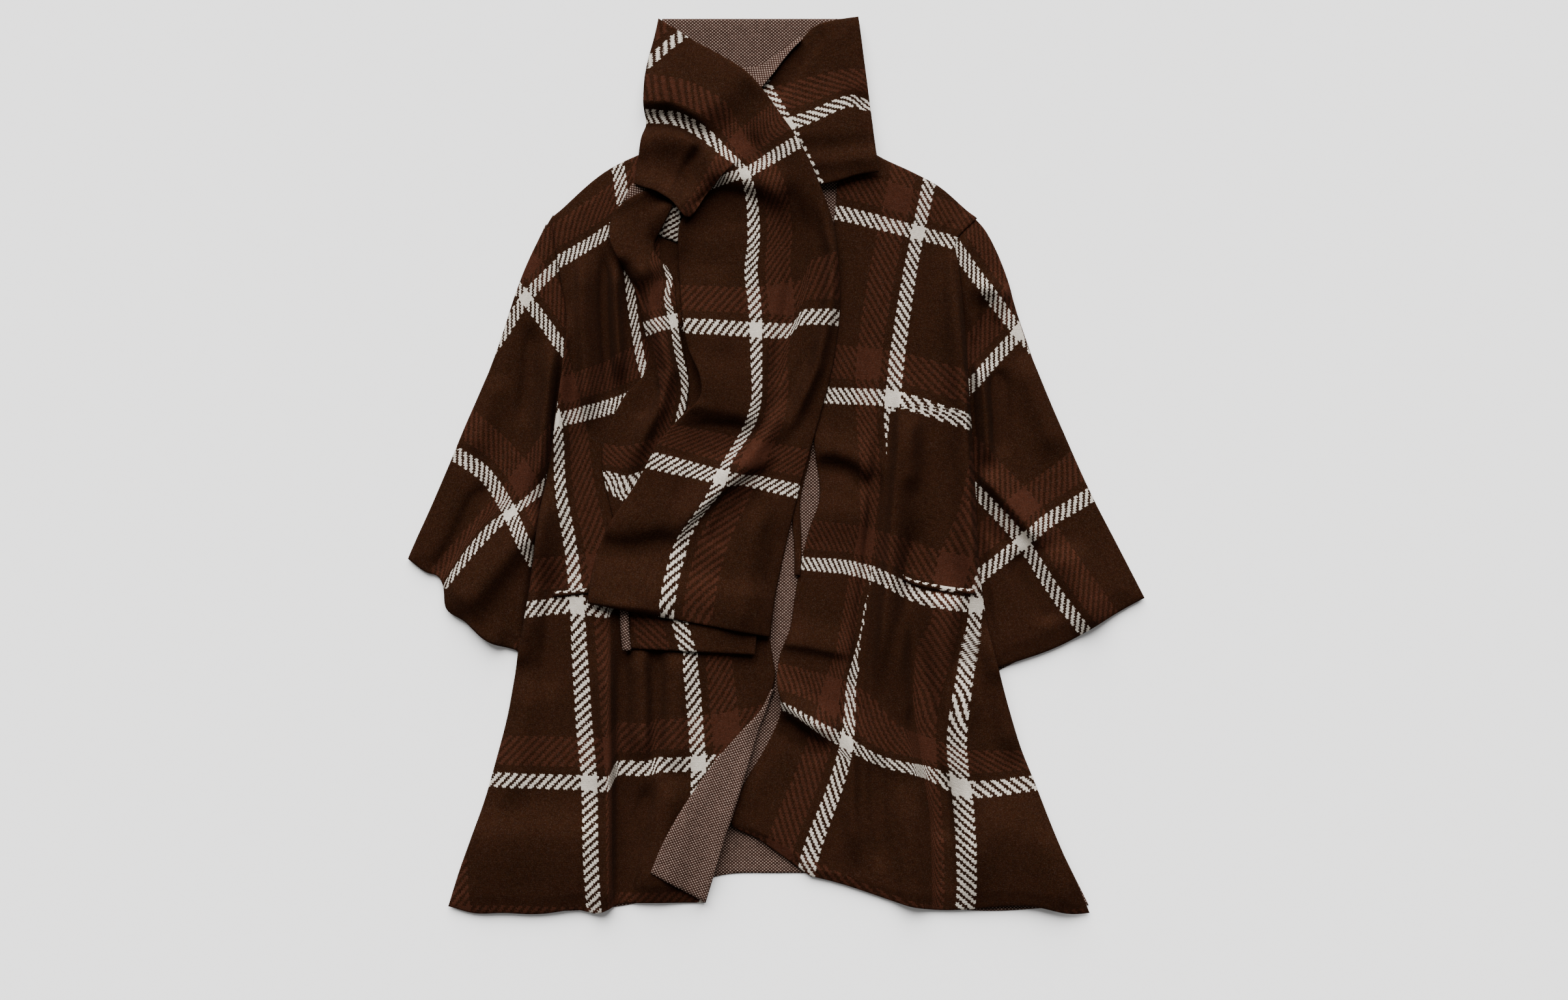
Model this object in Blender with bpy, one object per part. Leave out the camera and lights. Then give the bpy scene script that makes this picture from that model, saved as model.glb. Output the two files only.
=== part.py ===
"""Open-front knitted cape with a scarf collar, laid flat on its back.

Metres, +Z up. +Y runs from the hem to the neck, and the wearer's right lies at -X.
Every panel is a loft through a short table of sections, drawn on a squared drafting grid
with x to the right, y towards the hem and one square of DRAFT_SQUARE. A panel is laid on
the panels already there, one ply gap above their highest points, and its own folds stand
up from it.
"""

from collections import namedtuple

import bmesh
import bpy
import numpy as np
from mathutils import Vector
from mathutils.bvhtree import BVHTree

# Driving dimensions in metres
BODY_LENGTH = 0.812
KNIT_THICKNESS = 0.0024
POCKET_THICKNESS = 0.0016
PLY_GAP = 0.0004

# Drafting grid: the body is this many squares long from shoulder to hem
BODY_LENGTH_SQUARES = 1160
DRAFT_SQUARE = BODY_LENGTH / BODY_LENGTH_SQUARES
DRAFT_CENTRE_X = 1192
DRAFT_CENTRE_Y = 715

# Laying: samples under each grid cell, share of a panel that its end waves reach
SAMPLES_PER_CELL = 6
END_WAVE_REACH = 0.16
RAY_HEIGHT = 1.0

# Finishes: linear colour and roughness
FACE_COLOUR = (0.045, 0.016, 0.009, 1.0)
REVERSE_COLOUR = (0.120, 0.052, 0.038, 1.0)
POCKET_COLOUR = (0.038, 0.015, 0.009, 1.0)
KNIT_ROUGHNESS = 0.9

# A section runs from its start to its end, in drafting squares
Section = namedtuple("Section", "start_x start_y end_x end_y")

# A wave moves the first (0) or last (1) edge of a panel towards the hem, at a share of the way across
Wave = namedtuple("Wave", "end across spread drop")

# A fold is a ridge along a line, in drafting squares, with its height in metres
Fold = namedtuple("Fold", "start_x start_y end_x end_y spread height")

Panel = namedtuple("Panel", "name sections columns rows waves folds colour thickness on_floor")

# Back: from the neck over the shoulders, down the armholes and the sides to the hem
BACK = (
    Section(962, 243.5, 1346, 243.5),
    Section(905, 283, 1420, 273),
    Section(857, 321, 1480, 317),
    Section(842, 338, 1500, 338),
    Section(856, 420, 1490, 420),
    Section(860, 500, 1488, 520),
    Section(859, 580, 1490, 600),
    Section(854, 650, 1495, 680),
    Section(848, 745, 1500, 770),
    Section(842, 810, 1505, 840),
    Section(831, 880, 1512, 910),
    Section(812, 960, 1522, 980),
    Section(798, 1003, 1533, 1030),
    Section(791, 1045, 1541, 1058),
    Section(784, 1090, 1553, 1105),
    Section(771, 1138, 1568, 1150),
    Section(757, 1190, 1587, 1200),
    Section(737, 1255, 1610, 1260),
    Section(721, 1300, 1630, 1305),
    Section(705, 1340, 1650, 1345),
    Section(692, 1382, 1672, 1388),
)
BACK_WAVES = (
    Wave(1, 0.43, 0.09, -36),
    Wave(1, 0.57, 0.10, -40),
    Wave(1, 0.17, 0.13, 16),
    Wave(1, 0.84, 0.12, 12),
)

# Back halves of the sleeves: overarm edge to armhole and underarm seam
SLEEVE_RIGHT_BACK = (
    Section(838, 345, 842.5, 345),
    Section(813, 397, 855.5, 420),
    Section(791, 455, 859.5, 500),
    Section(770, 520, 858.5, 580),
    Section(742, 594, 853.5, 650),
    Section(698, 697, 847.5, 745),
    Section(670, 762, 841.5, 810),
    Section(648, 810, 830.5, 880),
    Section(635, 842, 811.5, 960),
    Section(628, 858, 797.5, 1003),
)
SLEEVE_RIGHT_BACK_WAVES = (Wave(1, 0.55, 0.20, 20),)

SLEEVE_LEFT_BACK = (
    Section(1499.8, 345, 1504, 345),
    Section(1490.5, 420, 1538, 405),
    Section(1488.5, 520, 1562, 482),
    Section(1490.5, 600, 1594, 575),
    Section(1495.5, 680, 1614, 622),
    Section(1500.5, 770, 1640, 682),
    Section(1505.5, 840, 1668, 745),
    Section(1512.5, 910, 1700, 808),
    Section(1522.5, 980, 1730, 865),
    Section(1533.5, 1030, 1756, 916),
)
SLEEVE_LEFT_BACK_WAVES = (Wave(1, 0.5, 0.2, 9),)

# Front halves of the sleeves: overarm edge to the edge tucked under the front
SLEEVE_RIGHT_FRONT = (
    Section(841, 339, 871, 490),
    Section(827, 365, 880, 540),
    Section(808, 410, 878, 590),
    Section(791, 455, 872, 650),
    Section(775, 505, 864, 705),
    Section(757, 557, 856, 755),
    Section(738, 603, 850, 795),
    Section(715, 655, 843, 835),
    Section(690, 715, 836, 880),
    Section(662, 780, 828, 925),
    Section(641, 826, 818, 970),
    Section(627, 858, 811, 1003),
)
SLEEVE_RIGHT_WAVES = (Wave(1, 0.62, 0.26, 31), Wave(1, 0.27, 0.09, -14))
SLEEVE_RIGHT_FOLDS = (
    Fold(790, 785, 690, 902, 16, 0.009),
    Fold(828, 500, 800, 740, 18, 0.005),
    Fold(750, 640, 720, 700, 22, 0.003),
    Fold(780, 900, 740, 975, 18, 0.005),
)

SLEEVE_LEFT_FRONT = (
    Section(1469.5, 372, 1501, 339),
    Section(1459, 425, 1513, 355),
    Section(1462, 480, 1530, 387),
    Section(1467, 540, 1545, 425),
    Section(1472, 600, 1558, 470),
    Section(1477, 660, 1573, 520),
    Section(1482, 720, 1593, 572),
    Section(1485, 780, 1617, 630),
    Section(1487, 840, 1645, 693),
    Section(1492, 900, 1677, 763),
    Section(1500, 950, 1710, 827),
    Section(1510, 990, 1735, 875),
    Section(1521, 1027, 1757, 917),
)
SLEEVE_LEFT_WAVES = (Wave(1, 0.45, 0.35, 14),)
SLEEVE_LEFT_FOLDS = (
    Fold(1525, 640, 1545, 720, 15, 0.008),
    Fold(1545, 720, 1600, 822, 16, 0.008),
    Fold(1560, 560, 1620, 700, 20, 0.003),
    Fold(1580, 900, 1600, 985, 22, 0.004),
    Fold(1680, 840, 1705, 930, 22, 0.004),
)

# Pocket bags between back and front
POCKET_RIGHT = (
    Section(840, 912, 1005, 908),
    Section(838, 1050, 1009, 1050),
    Section(845, 1180, 1006, 1190),
)
POCKET_LEFT = (
    Section(1350, 893, 1496, 908),
    Section(1352, 1040, 1505, 1040),
    Section(1369, 1165, 1512, 1180),
)

# Fronts: shoulder to hem, each section across the panel from left to right
FRONT_RIGHT = (
    Section(842, 338, 962, 242),
    Section(858, 410, 1008, 300),
    Section(872, 490, 1060, 385),
    Section(868, 545, 1085, 470),
    Section(861, 600, 1105, 555),
    Section(852, 665, 1122, 640),
    Section(843, 720, 1135, 710),
    Section(830, 790, 1150, 790),
    Section(819, 870, 1165, 880),
    Section(810, 930, 1175, 940),
    Section(797, 1000, 1187, 1010),
    Section(790, 1045, 1190, 1045),
    Section(780, 1100, 1172, 1100),
    Section(763, 1165, 1152, 1165),
    Section(745, 1228, 1133, 1228),
    Section(725, 1285, 1113, 1285),
    Section(706, 1335, 1098, 1338),
    Section(689, 1386, 1083, 1386),
)
FRONT_RIGHT_WAVES = (
    Wave(0, 0.30, 0.30, -8),
    Wave(1, 0.10, 0.10, 11),
    Wave(1, 0.33, 0.20, 17),
    Wave(1, 0.58, 0.06, 12),
)
FRONT_RIGHT_FOLDS = (
    Fold(890, 400, 887, 640, 13, 0.007),
    Fold(936, 390, 950, 600, 13, 0.008),
    Fold(922, 980, 924, 1398, 15, 0.009),
    Fold(995, 1200, 1010, 1390, 18, 0.004),
    Fold(812, 1080, 770, 1398, 26, 0.004),
    Fold(1085, 1010, 1060, 1170, 26, 0.003),
)

FRONT_LEFT = (
    Section(1346, 239, 1500, 338),
    Section(1292, 272, 1468, 372),
    Section(1283, 320, 1472, 412),
    Section(1276, 400, 1478, 470),
    Section(1268, 490, 1484, 540),
    Section(1262, 580, 1488, 610),
    Section(1250, 672, 1493, 680),
    Section(1259, 758, 1498, 760),
    Section(1243, 812, 1500, 820),
    Section(1229, 868, 1503, 870),
    Section(1220, 920, 1509, 920),
    Section(1213, 965, 1517, 965),
    Section(1198, 1005, 1526, 1005),
    Section(1193, 1045, 1536, 1042),
    Section(1199, 1092, 1549, 1090),
    Section(1176, 1147, 1566, 1145),
    Section(1141, 1206, 1590, 1205),
    Section(1122, 1262, 1613, 1265),
    Section(1165, 1288, 1632, 1310),
    Section(1205, 1315, 1652, 1350),
    Section(1245, 1342, 1673, 1395),
)
FRONT_LEFT_WAVES = (
    Wave(0, 0.30, 0.20, -5),
    Wave(0, 0.62, 0.26, -13),
    Wave(1, 0.42, 0.28, 31),
    Wave(1, 0.93, 0.10, 10),
)
FRONT_LEFT_FOLDS = (
    Fold(1366, 630, 1364, 1160, 15, 0.009),
    Fold(1300, 700, 1285, 1000, 26, 0.005),
    Fold(1202, 1062, 1242, 1096, 15, 0.012),
    Fold(1242, 1096, 1292, 1142, 15, 0.011),
    Fold(1425, 1090, 1400, 1390, 22, 0.005),
    Fold(1515, 1150, 1560, 1395, 24, 0.004),
    Fold(1440, 430, 1452, 800, 18, 0.004),
    Fold(1300, 1200, 1310, 1350, 22, 0.005),
)

# Pocket welts: narrow lips on the fronts along the pocket slits
WELT_RIGHT = (
    Section(850, 908, 850, 916),
    Section(877, 906, 877, 914),
    Section(905, 903, 905, 911),
)
WELT_LEFT = (
    Section(1386, 882, 1386, 890),
    Section(1400, 889, 1400, 897),
    Section(1430, 896, 1430, 904),
    Section(1460, 901, 1460, 909),
    Section(1496, 904, 1496, 912),
)

# Turn-back of the right front: cut edge to fold line
TURN_BACK = (
    Section(1184, 1058, 1190, 1060),
    Section(1168, 1090, 1178, 1092),
    Section(1140, 1120, 1166, 1119),
    Section(1105, 1160, 1153, 1163),
    Section(1075, 1200, 1141, 1203),
    Section(1045, 1245, 1127, 1247),
    Section(1020, 1290, 1111, 1295),
    Section(1000, 1337, 1084, 1385),
)
TURN_BACK_FOLDS = (Fold(1150, 1150, 1095, 1350, 14, 0.006),)

# Scarf collar: the stretch behind the neck lies on the floor
SCARF_BACK = (
    Section(1014, 29, 1316, 29),
    Section(1001, 75, 1323, 90),
    Section(994, 120, 1327, 120),
    Section(993, 175, 1332, 175),
    Section(988, 215, 1337, 210),
    Section(984, 243, 1340, 243),
)

# Wraps run from the fold beside the neck to the throat, upper edge to lower edge
SCARF_RIGHT_WRAP = (
    Section(1318, 27, 1349, 267),
    Section(1280, 32, 1315, 272),
    Section(1250, 42, 1285, 281),
    Section(1225, 68, 1257, 286),
    Section(1205, 93, 1232, 288),
    Section(1180, 122, 1205, 285),
    Section(1160, 140, 1180, 278),
)
SCARF_RIGHT_WRAP_FOLDS = (
    Fold(1320, 150, 1215, 180, 26, 0.009),
    Fold(1290, 60, 1190, 120, 18, 0.008),
)

SCARF_UNDER_TAIL = (
    Section(975, 288, 1040, 318),
    Section(945, 318, 1032, 345),
    Section(937, 360, 1014, 372),
    Section(948, 398, 1018, 402),
    Section(967, 430, 1034, 432),
    Section(980, 462, 1043, 465),
    Section(989, 500, 1046, 505),
    Section(998, 545, 1050, 550),
    Section(993, 578, 1054, 588),
    Section(972, 608, 1050, 618),
    Section(945, 640, 1040, 652),
    Section(928, 680, 1040, 690),
    Section(926, 720, 1035, 730),
    Section(935, 765, 1020, 770),
    Section(943, 797, 1000, 805),
)
SCARF_UNDER_TAIL_FOLDS = (
    Fold(985, 320, 985, 380, 18, 0.010),
    Fold(1005, 420, 1028, 560, 16, 0.013),
    Fold(1028, 560, 975, 660, 18, 0.012),
)

SCARF_UNDER_END = (
    Section(968, 895, 1160, 920),
    Section(962, 935, 1163, 960),
    Section(964, 995, 1160, 1005),
)

SCARF_FRONT_TAIL = (
    Section(1048, 300, 1236, 238),
    Section(1042, 345, 1257, 285),
    Section(1042, 395, 1278, 338),
    Section(1045, 440, 1286, 390),
    Section(1049, 490, 1290, 460),
    Section(1057, 535, 1284, 530),
    Section(1075, 578, 1274, 585),
    Section(1075, 612, 1262, 630),
    Section(1045, 642, 1250, 672),
    Section(1012, 680, 1232, 735),
    Section(988, 725, 1222, 775),
    Section(960, 770, 1210, 825),
    Section(935, 808, 1200, 870),
    Section(915, 860, 1192, 910),
    Section(906, 905, 1187, 945),
    Section(904, 926, 1183, 978),
)
SCARF_FRONT_TAIL_FOLDS = (
    Fold(1262, 330, 1262, 480, 17, 0.012),
    Fold(1262, 480, 1215, 620, 17, 0.011),
    Fold(1112, 400, 1120, 560, 26, 0.008),
    Fold(1190, 600, 1085, 770, 18, 0.009),
    Fold(1000, 800, 960, 915, 22, 0.005),
    Fold(1120, 800, 1100, 950, 24, 0.005),
)

SCARF_LEFT_WRAP = (
    Section(1012, 29, 975, 285),
    Section(1040, 47, 990, 291),
    Section(1070, 66, 1010, 298),
    Section(1100, 82, 1033, 313),
    Section(1140, 107, 1058, 337),
    Section(1170, 138, 1085, 302),
    Section(1200, 180, 1106, 278),
    Section(1222, 212, 1130, 268),
    Section(1240, 246, 1158, 272),
)
SCARF_LEFT_WRAP_FOLDS = (
    Fold(1010, 285, 1056, 322, 15, 0.015),
    Fold(1056, 322, 1096, 280, 15, 0.016),
    Fold(1010, 200, 1110, 225, 26, 0.011),
    Fold(1090, 100, 1190, 200, 22, 0.010),
)

NO_ROWS = ()

# Laying order, from the floor up
PANELS = (
    Panel("back", BACK, 24, 20, BACK_WAVES, NO_ROWS, FACE_COLOUR, KNIT_THICKNESS, True),
    Panel("sleeve_right_back", SLEEVE_RIGHT_BACK, 6, 9, SLEEVE_RIGHT_BACK_WAVES, NO_ROWS,
          FACE_COLOUR, KNIT_THICKNESS, True),
    Panel("sleeve_left_back", SLEEVE_LEFT_BACK, 6, 9, SLEEVE_LEFT_BACK_WAVES, NO_ROWS,
          FACE_COLOUR, KNIT_THICKNESS, True),
    Panel("scarf_back", SCARF_BACK, 4, 5, NO_ROWS, NO_ROWS, REVERSE_COLOUR, KNIT_THICKNESS, True),
    Panel("pocket_right", POCKET_RIGHT, 4, 4, NO_ROWS, NO_ROWS, POCKET_COLOUR, POCKET_THICKNESS, False),
    Panel("pocket_left", POCKET_LEFT, 4, 4, NO_ROWS, NO_ROWS, POCKET_COLOUR, POCKET_THICKNESS, False),
    Panel("sleeve_right_front", SLEEVE_RIGHT_FRONT, 12, 11, SLEEVE_RIGHT_WAVES, SLEEVE_RIGHT_FOLDS,
          FACE_COLOUR, KNIT_THICKNESS, False),
    Panel("sleeve_left_front", SLEEVE_LEFT_FRONT, 12, 12, SLEEVE_LEFT_WAVES, SLEEVE_LEFT_FOLDS,
          FACE_COLOUR, KNIT_THICKNESS, False),
    Panel("front_right", FRONT_RIGHT, 24, 17, FRONT_RIGHT_WAVES, FRONT_RIGHT_FOLDS,
          FACE_COLOUR, KNIT_THICKNESS, False),
    Panel("front_left", FRONT_LEFT, 24, 20, FRONT_LEFT_WAVES, FRONT_LEFT_FOLDS,
          FACE_COLOUR, KNIT_THICKNESS, False),
    Panel("pocket_welt_right", WELT_RIGHT, 1, 4, NO_ROWS, NO_ROWS, FACE_COLOUR, KNIT_THICKNESS, False),
    Panel("pocket_welt_left", WELT_LEFT, 1, 8, NO_ROWS, NO_ROWS, FACE_COLOUR, KNIT_THICKNESS, False),
    Panel("front_right_turn_back", TURN_BACK, 5, 14, NO_ROWS, TURN_BACK_FOLDS,
          REVERSE_COLOUR, KNIT_THICKNESS, False),
    Panel("scarf_right_wrap", SCARF_RIGHT_WRAP, 10, 12, NO_ROWS, SCARF_RIGHT_WRAP_FOLDS,
          FACE_COLOUR, KNIT_THICKNESS, False),
    Panel("scarf_under_tail", SCARF_UNDER_TAIL, 7, 28, NO_ROWS, SCARF_UNDER_TAIL_FOLDS,
          FACE_COLOUR, KNIT_THICKNESS, False),
    Panel("scarf_under_end", SCARF_UNDER_END, 8, 4, NO_ROWS, NO_ROWS, FACE_COLOUR, KNIT_THICKNESS, False),
    Panel("scarf_front_tail", SCARF_FRONT_TAIL, 16, 30, NO_ROWS, SCARF_FRONT_TAIL_FOLDS,
          FACE_COLOUR, KNIT_THICKNESS, False),
    Panel("scarf_left_wrap", SCARF_LEFT_WRAP, 12, 16, NO_ROWS, SCARF_LEFT_WRAP_FOLDS,
          FACE_COLOUR, KNIT_THICKNESS, False),
)


def clear_scene():
    for old in list(bpy.data.objects):
        bpy.data.objects.remove(old, do_unlink=True)


def knit_material(name, colour):
    material = bpy.data.materials.new(name)
    material.use_nodes = True
    shader = material.node_tree.nodes["Principled BSDF"]
    shader.inputs["Base Color"].default_value = colour
    shader.inputs["Roughness"].default_value = KNIT_ROUGHNESS
    shader.inputs["Metallic"].default_value = 0.0
    return material


def smooth_through(values, where):
    """Smooth curve through the values; where counts rows from 0."""
    values = np.asarray(values, dtype=float)
    before = 2 * values[0] - values[1]
    after = 2 * values[-1] - values[-2]
    padded = np.concatenate(([before], values, [after]))
    row = np.clip(where.astype(int), 0, len(values) - 2)
    part = where - row
    p0, p1, p2, p3 = (padded[row + step] for step in range(4))
    bend = 2 * p0 - 5 * p1 + 4 * p2 - p3
    twist = 3 * p1 - p0 - 3 * p2 + p3
    return 0.5 * (2 * p1 + (p2 - p0) * part + bend * part ** 2 + twist * part ** 3)


def straight_through(values, where):
    return np.interp(where, np.arange(len(values)), values)


def plan(panel, across, along):
    """Drafting squares of the points at the given shares across and along a panel."""
    follow = straight_through if panel.on_floor else smooth_through
    where = along * (len(panel.sections) - 1)
    columns = zip(*panel.sections)
    start_x, start_y, end_x, end_y = (follow(column, where) for column in columns)
    x = start_x + (end_x - start_x) * across
    y = start_y + (end_y - start_y) * across
    for wave in panel.waves:
        reach = np.clip(1 - np.abs(along - wave.end) / END_WAVE_REACH, 0, 1) ** 2
        y = y + reach * wave.drop * np.exp(-((across - wave.across) / wave.spread) ** 2)
    return x, y


def fold_height(folds, x, y):
    """Height of the highest fold over each point."""
    height = np.zeros_like(x)
    for fold in folds:
        run_x = fold.end_x - fold.start_x
        run_y = fold.end_y - fold.start_y
        share = ((x - fold.start_x) * run_x + (y - fold.start_y) * run_y) / (run_x ** 2 + run_y ** 2)
        share = np.clip(share, 0, 1)
        away = np.hypot(x - fold.start_x - share * run_x, y - fold.start_y - share * run_y)
        height = np.maximum(height, fold.height * np.exp(-(away / fold.spread) ** 2))
    return height


def to_metres(x, y):
    return (x - DRAFT_CENTRE_X) * DRAFT_SQUARE, (DRAFT_CENTRE_Y - y) * DRAFT_SQUARE


def top_of_pile(pile, x, y):
    """Highest point of the laid panels under each point, or the floor."""
    top = np.zeros_like(x)
    down = Vector((0, 0, -1))
    for tree in pile:
        for index in np.ndindex(x.shape):
            hit = tree.ray_cast(Vector((x[index], y[index], RAY_HEIGHT)), down)[0]
            if hit is not None:
                top[index] = max(top[index], hit.z)
    return top


def refine(values):
    """Values at the sample points, straight between the grid points."""
    for _axis in range(2):
        fine = np.linspace(0, len(values) - 1, (len(values) - 1) * SAMPLES_PER_CELL + 1)
        coarse = np.arange(len(values))
        values = np.array([np.interp(fine, coarse, line) for line in values.T])
    return values


def laid_heights(x, y, pile):
    """Height of each grid point: clear of everything under the cells round it."""
    step = SAMPLES_PER_CELL
    below = top_of_pile(pile, refine(x), refine(y))
    heights = np.empty_like(x)
    for row, column in np.ndindex(heights.shape):
        rows = slice(max(0, (row - 1) * step), (row + 1) * step + 1)
        columns = slice(max(0, (column - 1) * step), (column + 1) * step + 1)
        heights[row, column] = below[rows, columns].max() + PLY_GAP
    return heights


def panel_mesh(panel, pile):
    """Closed wall of one panel: its under side laid out, then raised by its thickness."""
    across = np.linspace(0, 1, panel.columns + 1)
    along = np.linspace(0, 1, panel.rows + 1)
    draft_x, draft_y = plan(panel, *np.meshgrid(across, along))
    x, y = to_metres(draft_x, draft_y)
    z = np.zeros_like(x) if panel.on_floor else laid_heights(x, y, pile)
    z = z + fold_height(panel.folds, draft_x, draft_y)

    bm = bmesh.new()
    bmesh.ops.create_grid(bm, x_segments=panel.columns, y_segments=panel.rows, size=0.5)
    for vert in bm.verts:
        column = round((vert.co.x + 0.5) * panel.columns)
        row = round((vert.co.y + 0.5) * panel.rows)
        vert.co = (x[row, column], y[row, column], z[row, column])
    bmesh.ops.triangulate(bm, faces=bm.faces[:])
    raised = bmesh.ops.extrude_face_region(bm, geom=bm.faces[:])
    upper = [item for item in raised["geom"] if isinstance(item, bmesh.types.BMVert)]
    bmesh.ops.translate(bm, verts=upper, vec=(0, 0, panel.thickness))
    bmesh.ops.recalc_face_normals(bm, faces=bm.faces[:])
    pile.append(BVHTree.FromBMesh(bm))
    mesh = bpy.data.meshes.new(panel.name)
    bm.to_mesh(mesh)
    bm.free()
    return mesh


def build_cape():
    clear_scene()
    collection = bpy.data.collections.new("cape")
    bpy.context.scene.collection.children.link(collection)
    pile = []
    for panel in PANELS:
        mesh = panel_mesh(panel, pile)
        mesh.shade_smooth()
        mesh.materials.append(knit_material(panel.name + "_knit", panel.colour))
        collection.objects.link(bpy.data.objects.new(panel.name, mesh))


build_cape()
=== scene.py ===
from collections import namedtuple

import bmesh
import bpy
import numpy as np
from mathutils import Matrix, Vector, noise
from mathutils.bvhtree import BVHTree


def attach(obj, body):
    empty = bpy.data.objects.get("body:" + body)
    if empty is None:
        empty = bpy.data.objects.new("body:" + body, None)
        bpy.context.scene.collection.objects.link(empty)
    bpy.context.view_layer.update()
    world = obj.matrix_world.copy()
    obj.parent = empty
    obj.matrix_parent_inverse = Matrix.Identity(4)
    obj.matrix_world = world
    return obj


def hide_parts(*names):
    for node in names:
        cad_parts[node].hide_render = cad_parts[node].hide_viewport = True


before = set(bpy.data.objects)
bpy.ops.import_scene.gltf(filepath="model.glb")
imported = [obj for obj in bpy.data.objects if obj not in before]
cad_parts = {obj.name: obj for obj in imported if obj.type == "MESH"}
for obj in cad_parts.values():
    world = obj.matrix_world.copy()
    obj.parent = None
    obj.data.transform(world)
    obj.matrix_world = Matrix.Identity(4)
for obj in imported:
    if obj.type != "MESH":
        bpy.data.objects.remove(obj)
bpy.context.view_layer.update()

# Drafting grid: x to the right, y towards the hem, one square in metres
DRAFT_SQUARE = 0.0007
DRAFT_CENTRE_X = 1192
DRAFT_CENTRE_Y = 715

# Cloth: sizes in metres, how it softens over steps, and how ripples, folds and tucks fade
KNIT_THICKNESS = 0.0022
EDGE_THICKNESS = 0.0007
EDGE_ROUND = 0.0022
WIDEST_INSET = 0.2
RIM_SHARE = 0.3
PLY_GAP = 0.0005
FINE_STEP = 0.0030
SMALL_STEP = 0.002
FLAT_STEP = 0.008
PLAN_ROWS = 40
SOFT_CELLS = 2
WIDEN_PASSES = 2
BLUR_PASSES = 3
SOFT_FLOOR = 0.0012
RIPPLE_HEIGHT = 0.0007
RIPPLE_MEAN = 0.4
RIPPLE_PER_METRE = 14
LOFT_AT_EDGE = 0.35
LOFT_INSET = 0.02
FOLD_DEPTH = 1.25
FOLD_TAPER = 4
RAY_HEIGHT = 1.0
END_WAVE_REACH = 0.16
TUCK_FADE = 70
HARD_TUCK = 0.01
MARK_SLACK = 0.002
NEARLY_ZERO = 1e-12

# Air under some panels, in metres
SLEEVE_LOFT = 0.006
FRONT_LOFT = 0.005
WRAP_LIFT = 0.007
ROLL_LIFT = 0.006
NECK_FOLD_LIFT = 0.014
END_LIFT = 0.006

# Plaid: stitches in one repeat, first stitch and count of its bands
REPEAT_SQUARES = 262
REPEAT_STITCHES = 80
CREAM_FIRST, CREAM_COUNT = -3, 7
RUST_FIRST, RUST_COUNT = 8, 14
TWILL_STITCHES = 4

# Camera, light and floor
CAMERA_HEIGHT = 3.2
SENSOR_MILLIMETRES = 36
VIEW_WIDTH_SQUARES = 2408
VIEW_CENTRE = (1204, 768)
SUN_TOWARDS = (0.06, -0.80, -0.59)
SUN_SPREAD = 1.1
SUN_STRENGTH = 12.0
SKY_COLOUR = (1.0, 0.99, 0.98, 1)
SKY_STRENGTH = 0.26
FLOOR_SIZE = 8.0
FLOOR_DROP = 0.0004
FLOOR_GRAIN = (40.0, 2.0)
FLOOR_DARK = (0.91, 0.905, 0.90, 1)
FLOOR_LIGHT = (0.93, 0.925, 0.92, 1)
FLOOR_ROUGHNESS = 0.9

Wave = namedtuple("Wave", "end across spread drop push", defaults=(0,))
Tuck = namedtuple("Tuck", "soft across_hidden along_hidden starts ends path")
Cut = namedtuple("Cut", "width length area held rests_on")
Side = namedtuple("Side", "upper lower slot")

NONE = ()
HIDDEN = ("across_hidden", "along_hidden")

# A panel's plan lists the sections across it: start x, start y, end x, end y
# A fold has its spread to the left and to the right, its height, below 0 in a trough, and its path
# The plaid's marks, ACROSS and ALONG, each have x, y and the count of repeats there

# Back and the back halves of the sleeves, on the floor
BACK = (
    (975, 250, 1340, 250), (908, 291, 1418, 275), (866, 331, 1478, 319),
    (852, 352, 1497, 340), (856, 420, 1490, 420), (860, 500, 1488, 520),
    (859, 580, 1490, 600), (854, 650, 1495, 680), (848, 745, 1500, 770),
    (842, 810, 1505, 840), (831, 880, 1512, 910), (812, 960, 1522, 980),
    (798, 1003, 1533, 1030), (791, 1045, 1541, 1058), (784, 1090, 1553, 1105),
    (771, 1138, 1568, 1150), (757, 1190, 1587, 1200), (737, 1255, 1610, 1260),
    (721, 1300, 1630, 1305), (705, 1340, 1650, 1345), (692, 1382, 1672, 1388),
)
BACK_WAVES = (
    Wave(1, 0.43, 0.09, -36),
    Wave(1, 0.57, 0.10, -40),
    Wave(1, 0.17, 0.13, 16),
    Wave(1, 0.84, 0.12, 12),
)

SLEEVE_RIGHT_BACK = (
    (838, 345, 842.5, 345), (813, 397, 855.5, 420), (791, 455, 859.5, 500),
    (770, 520, 858.5, 580), (742, 594, 853.5, 650), (698, 697, 847.5, 745),
    (670, 762, 841.5, 810), (648, 810, 830.5, 880), (635, 842, 811.5, 960),
    (628, 858, 797.5, 1003),
)
SLEEVE_RIGHT_BACK_WAVES = (Wave(1, 0.55, 0.20, 20), Wave(1, 0.24, 0.11, -22))

SLEEVE_LEFT_BACK = (
    (1499.8, 345, 1504, 345), (1490.5, 420, 1538, 405), (1488.5, 520, 1562, 482),
    (1490.5, 600, 1594, 575), (1495.5, 680, 1614, 622), (1500.5, 770, 1640, 682),
    (1505.5, 840, 1668, 745), (1512.5, 910, 1700, 808), (1522.5, 980, 1730, 865),
    (1533.5, 1030, 1756, 916),
)
SLEEVE_LEFT_BACK_WAVES = (Wave(1, 0.5, 0.2, 9),)

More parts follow.
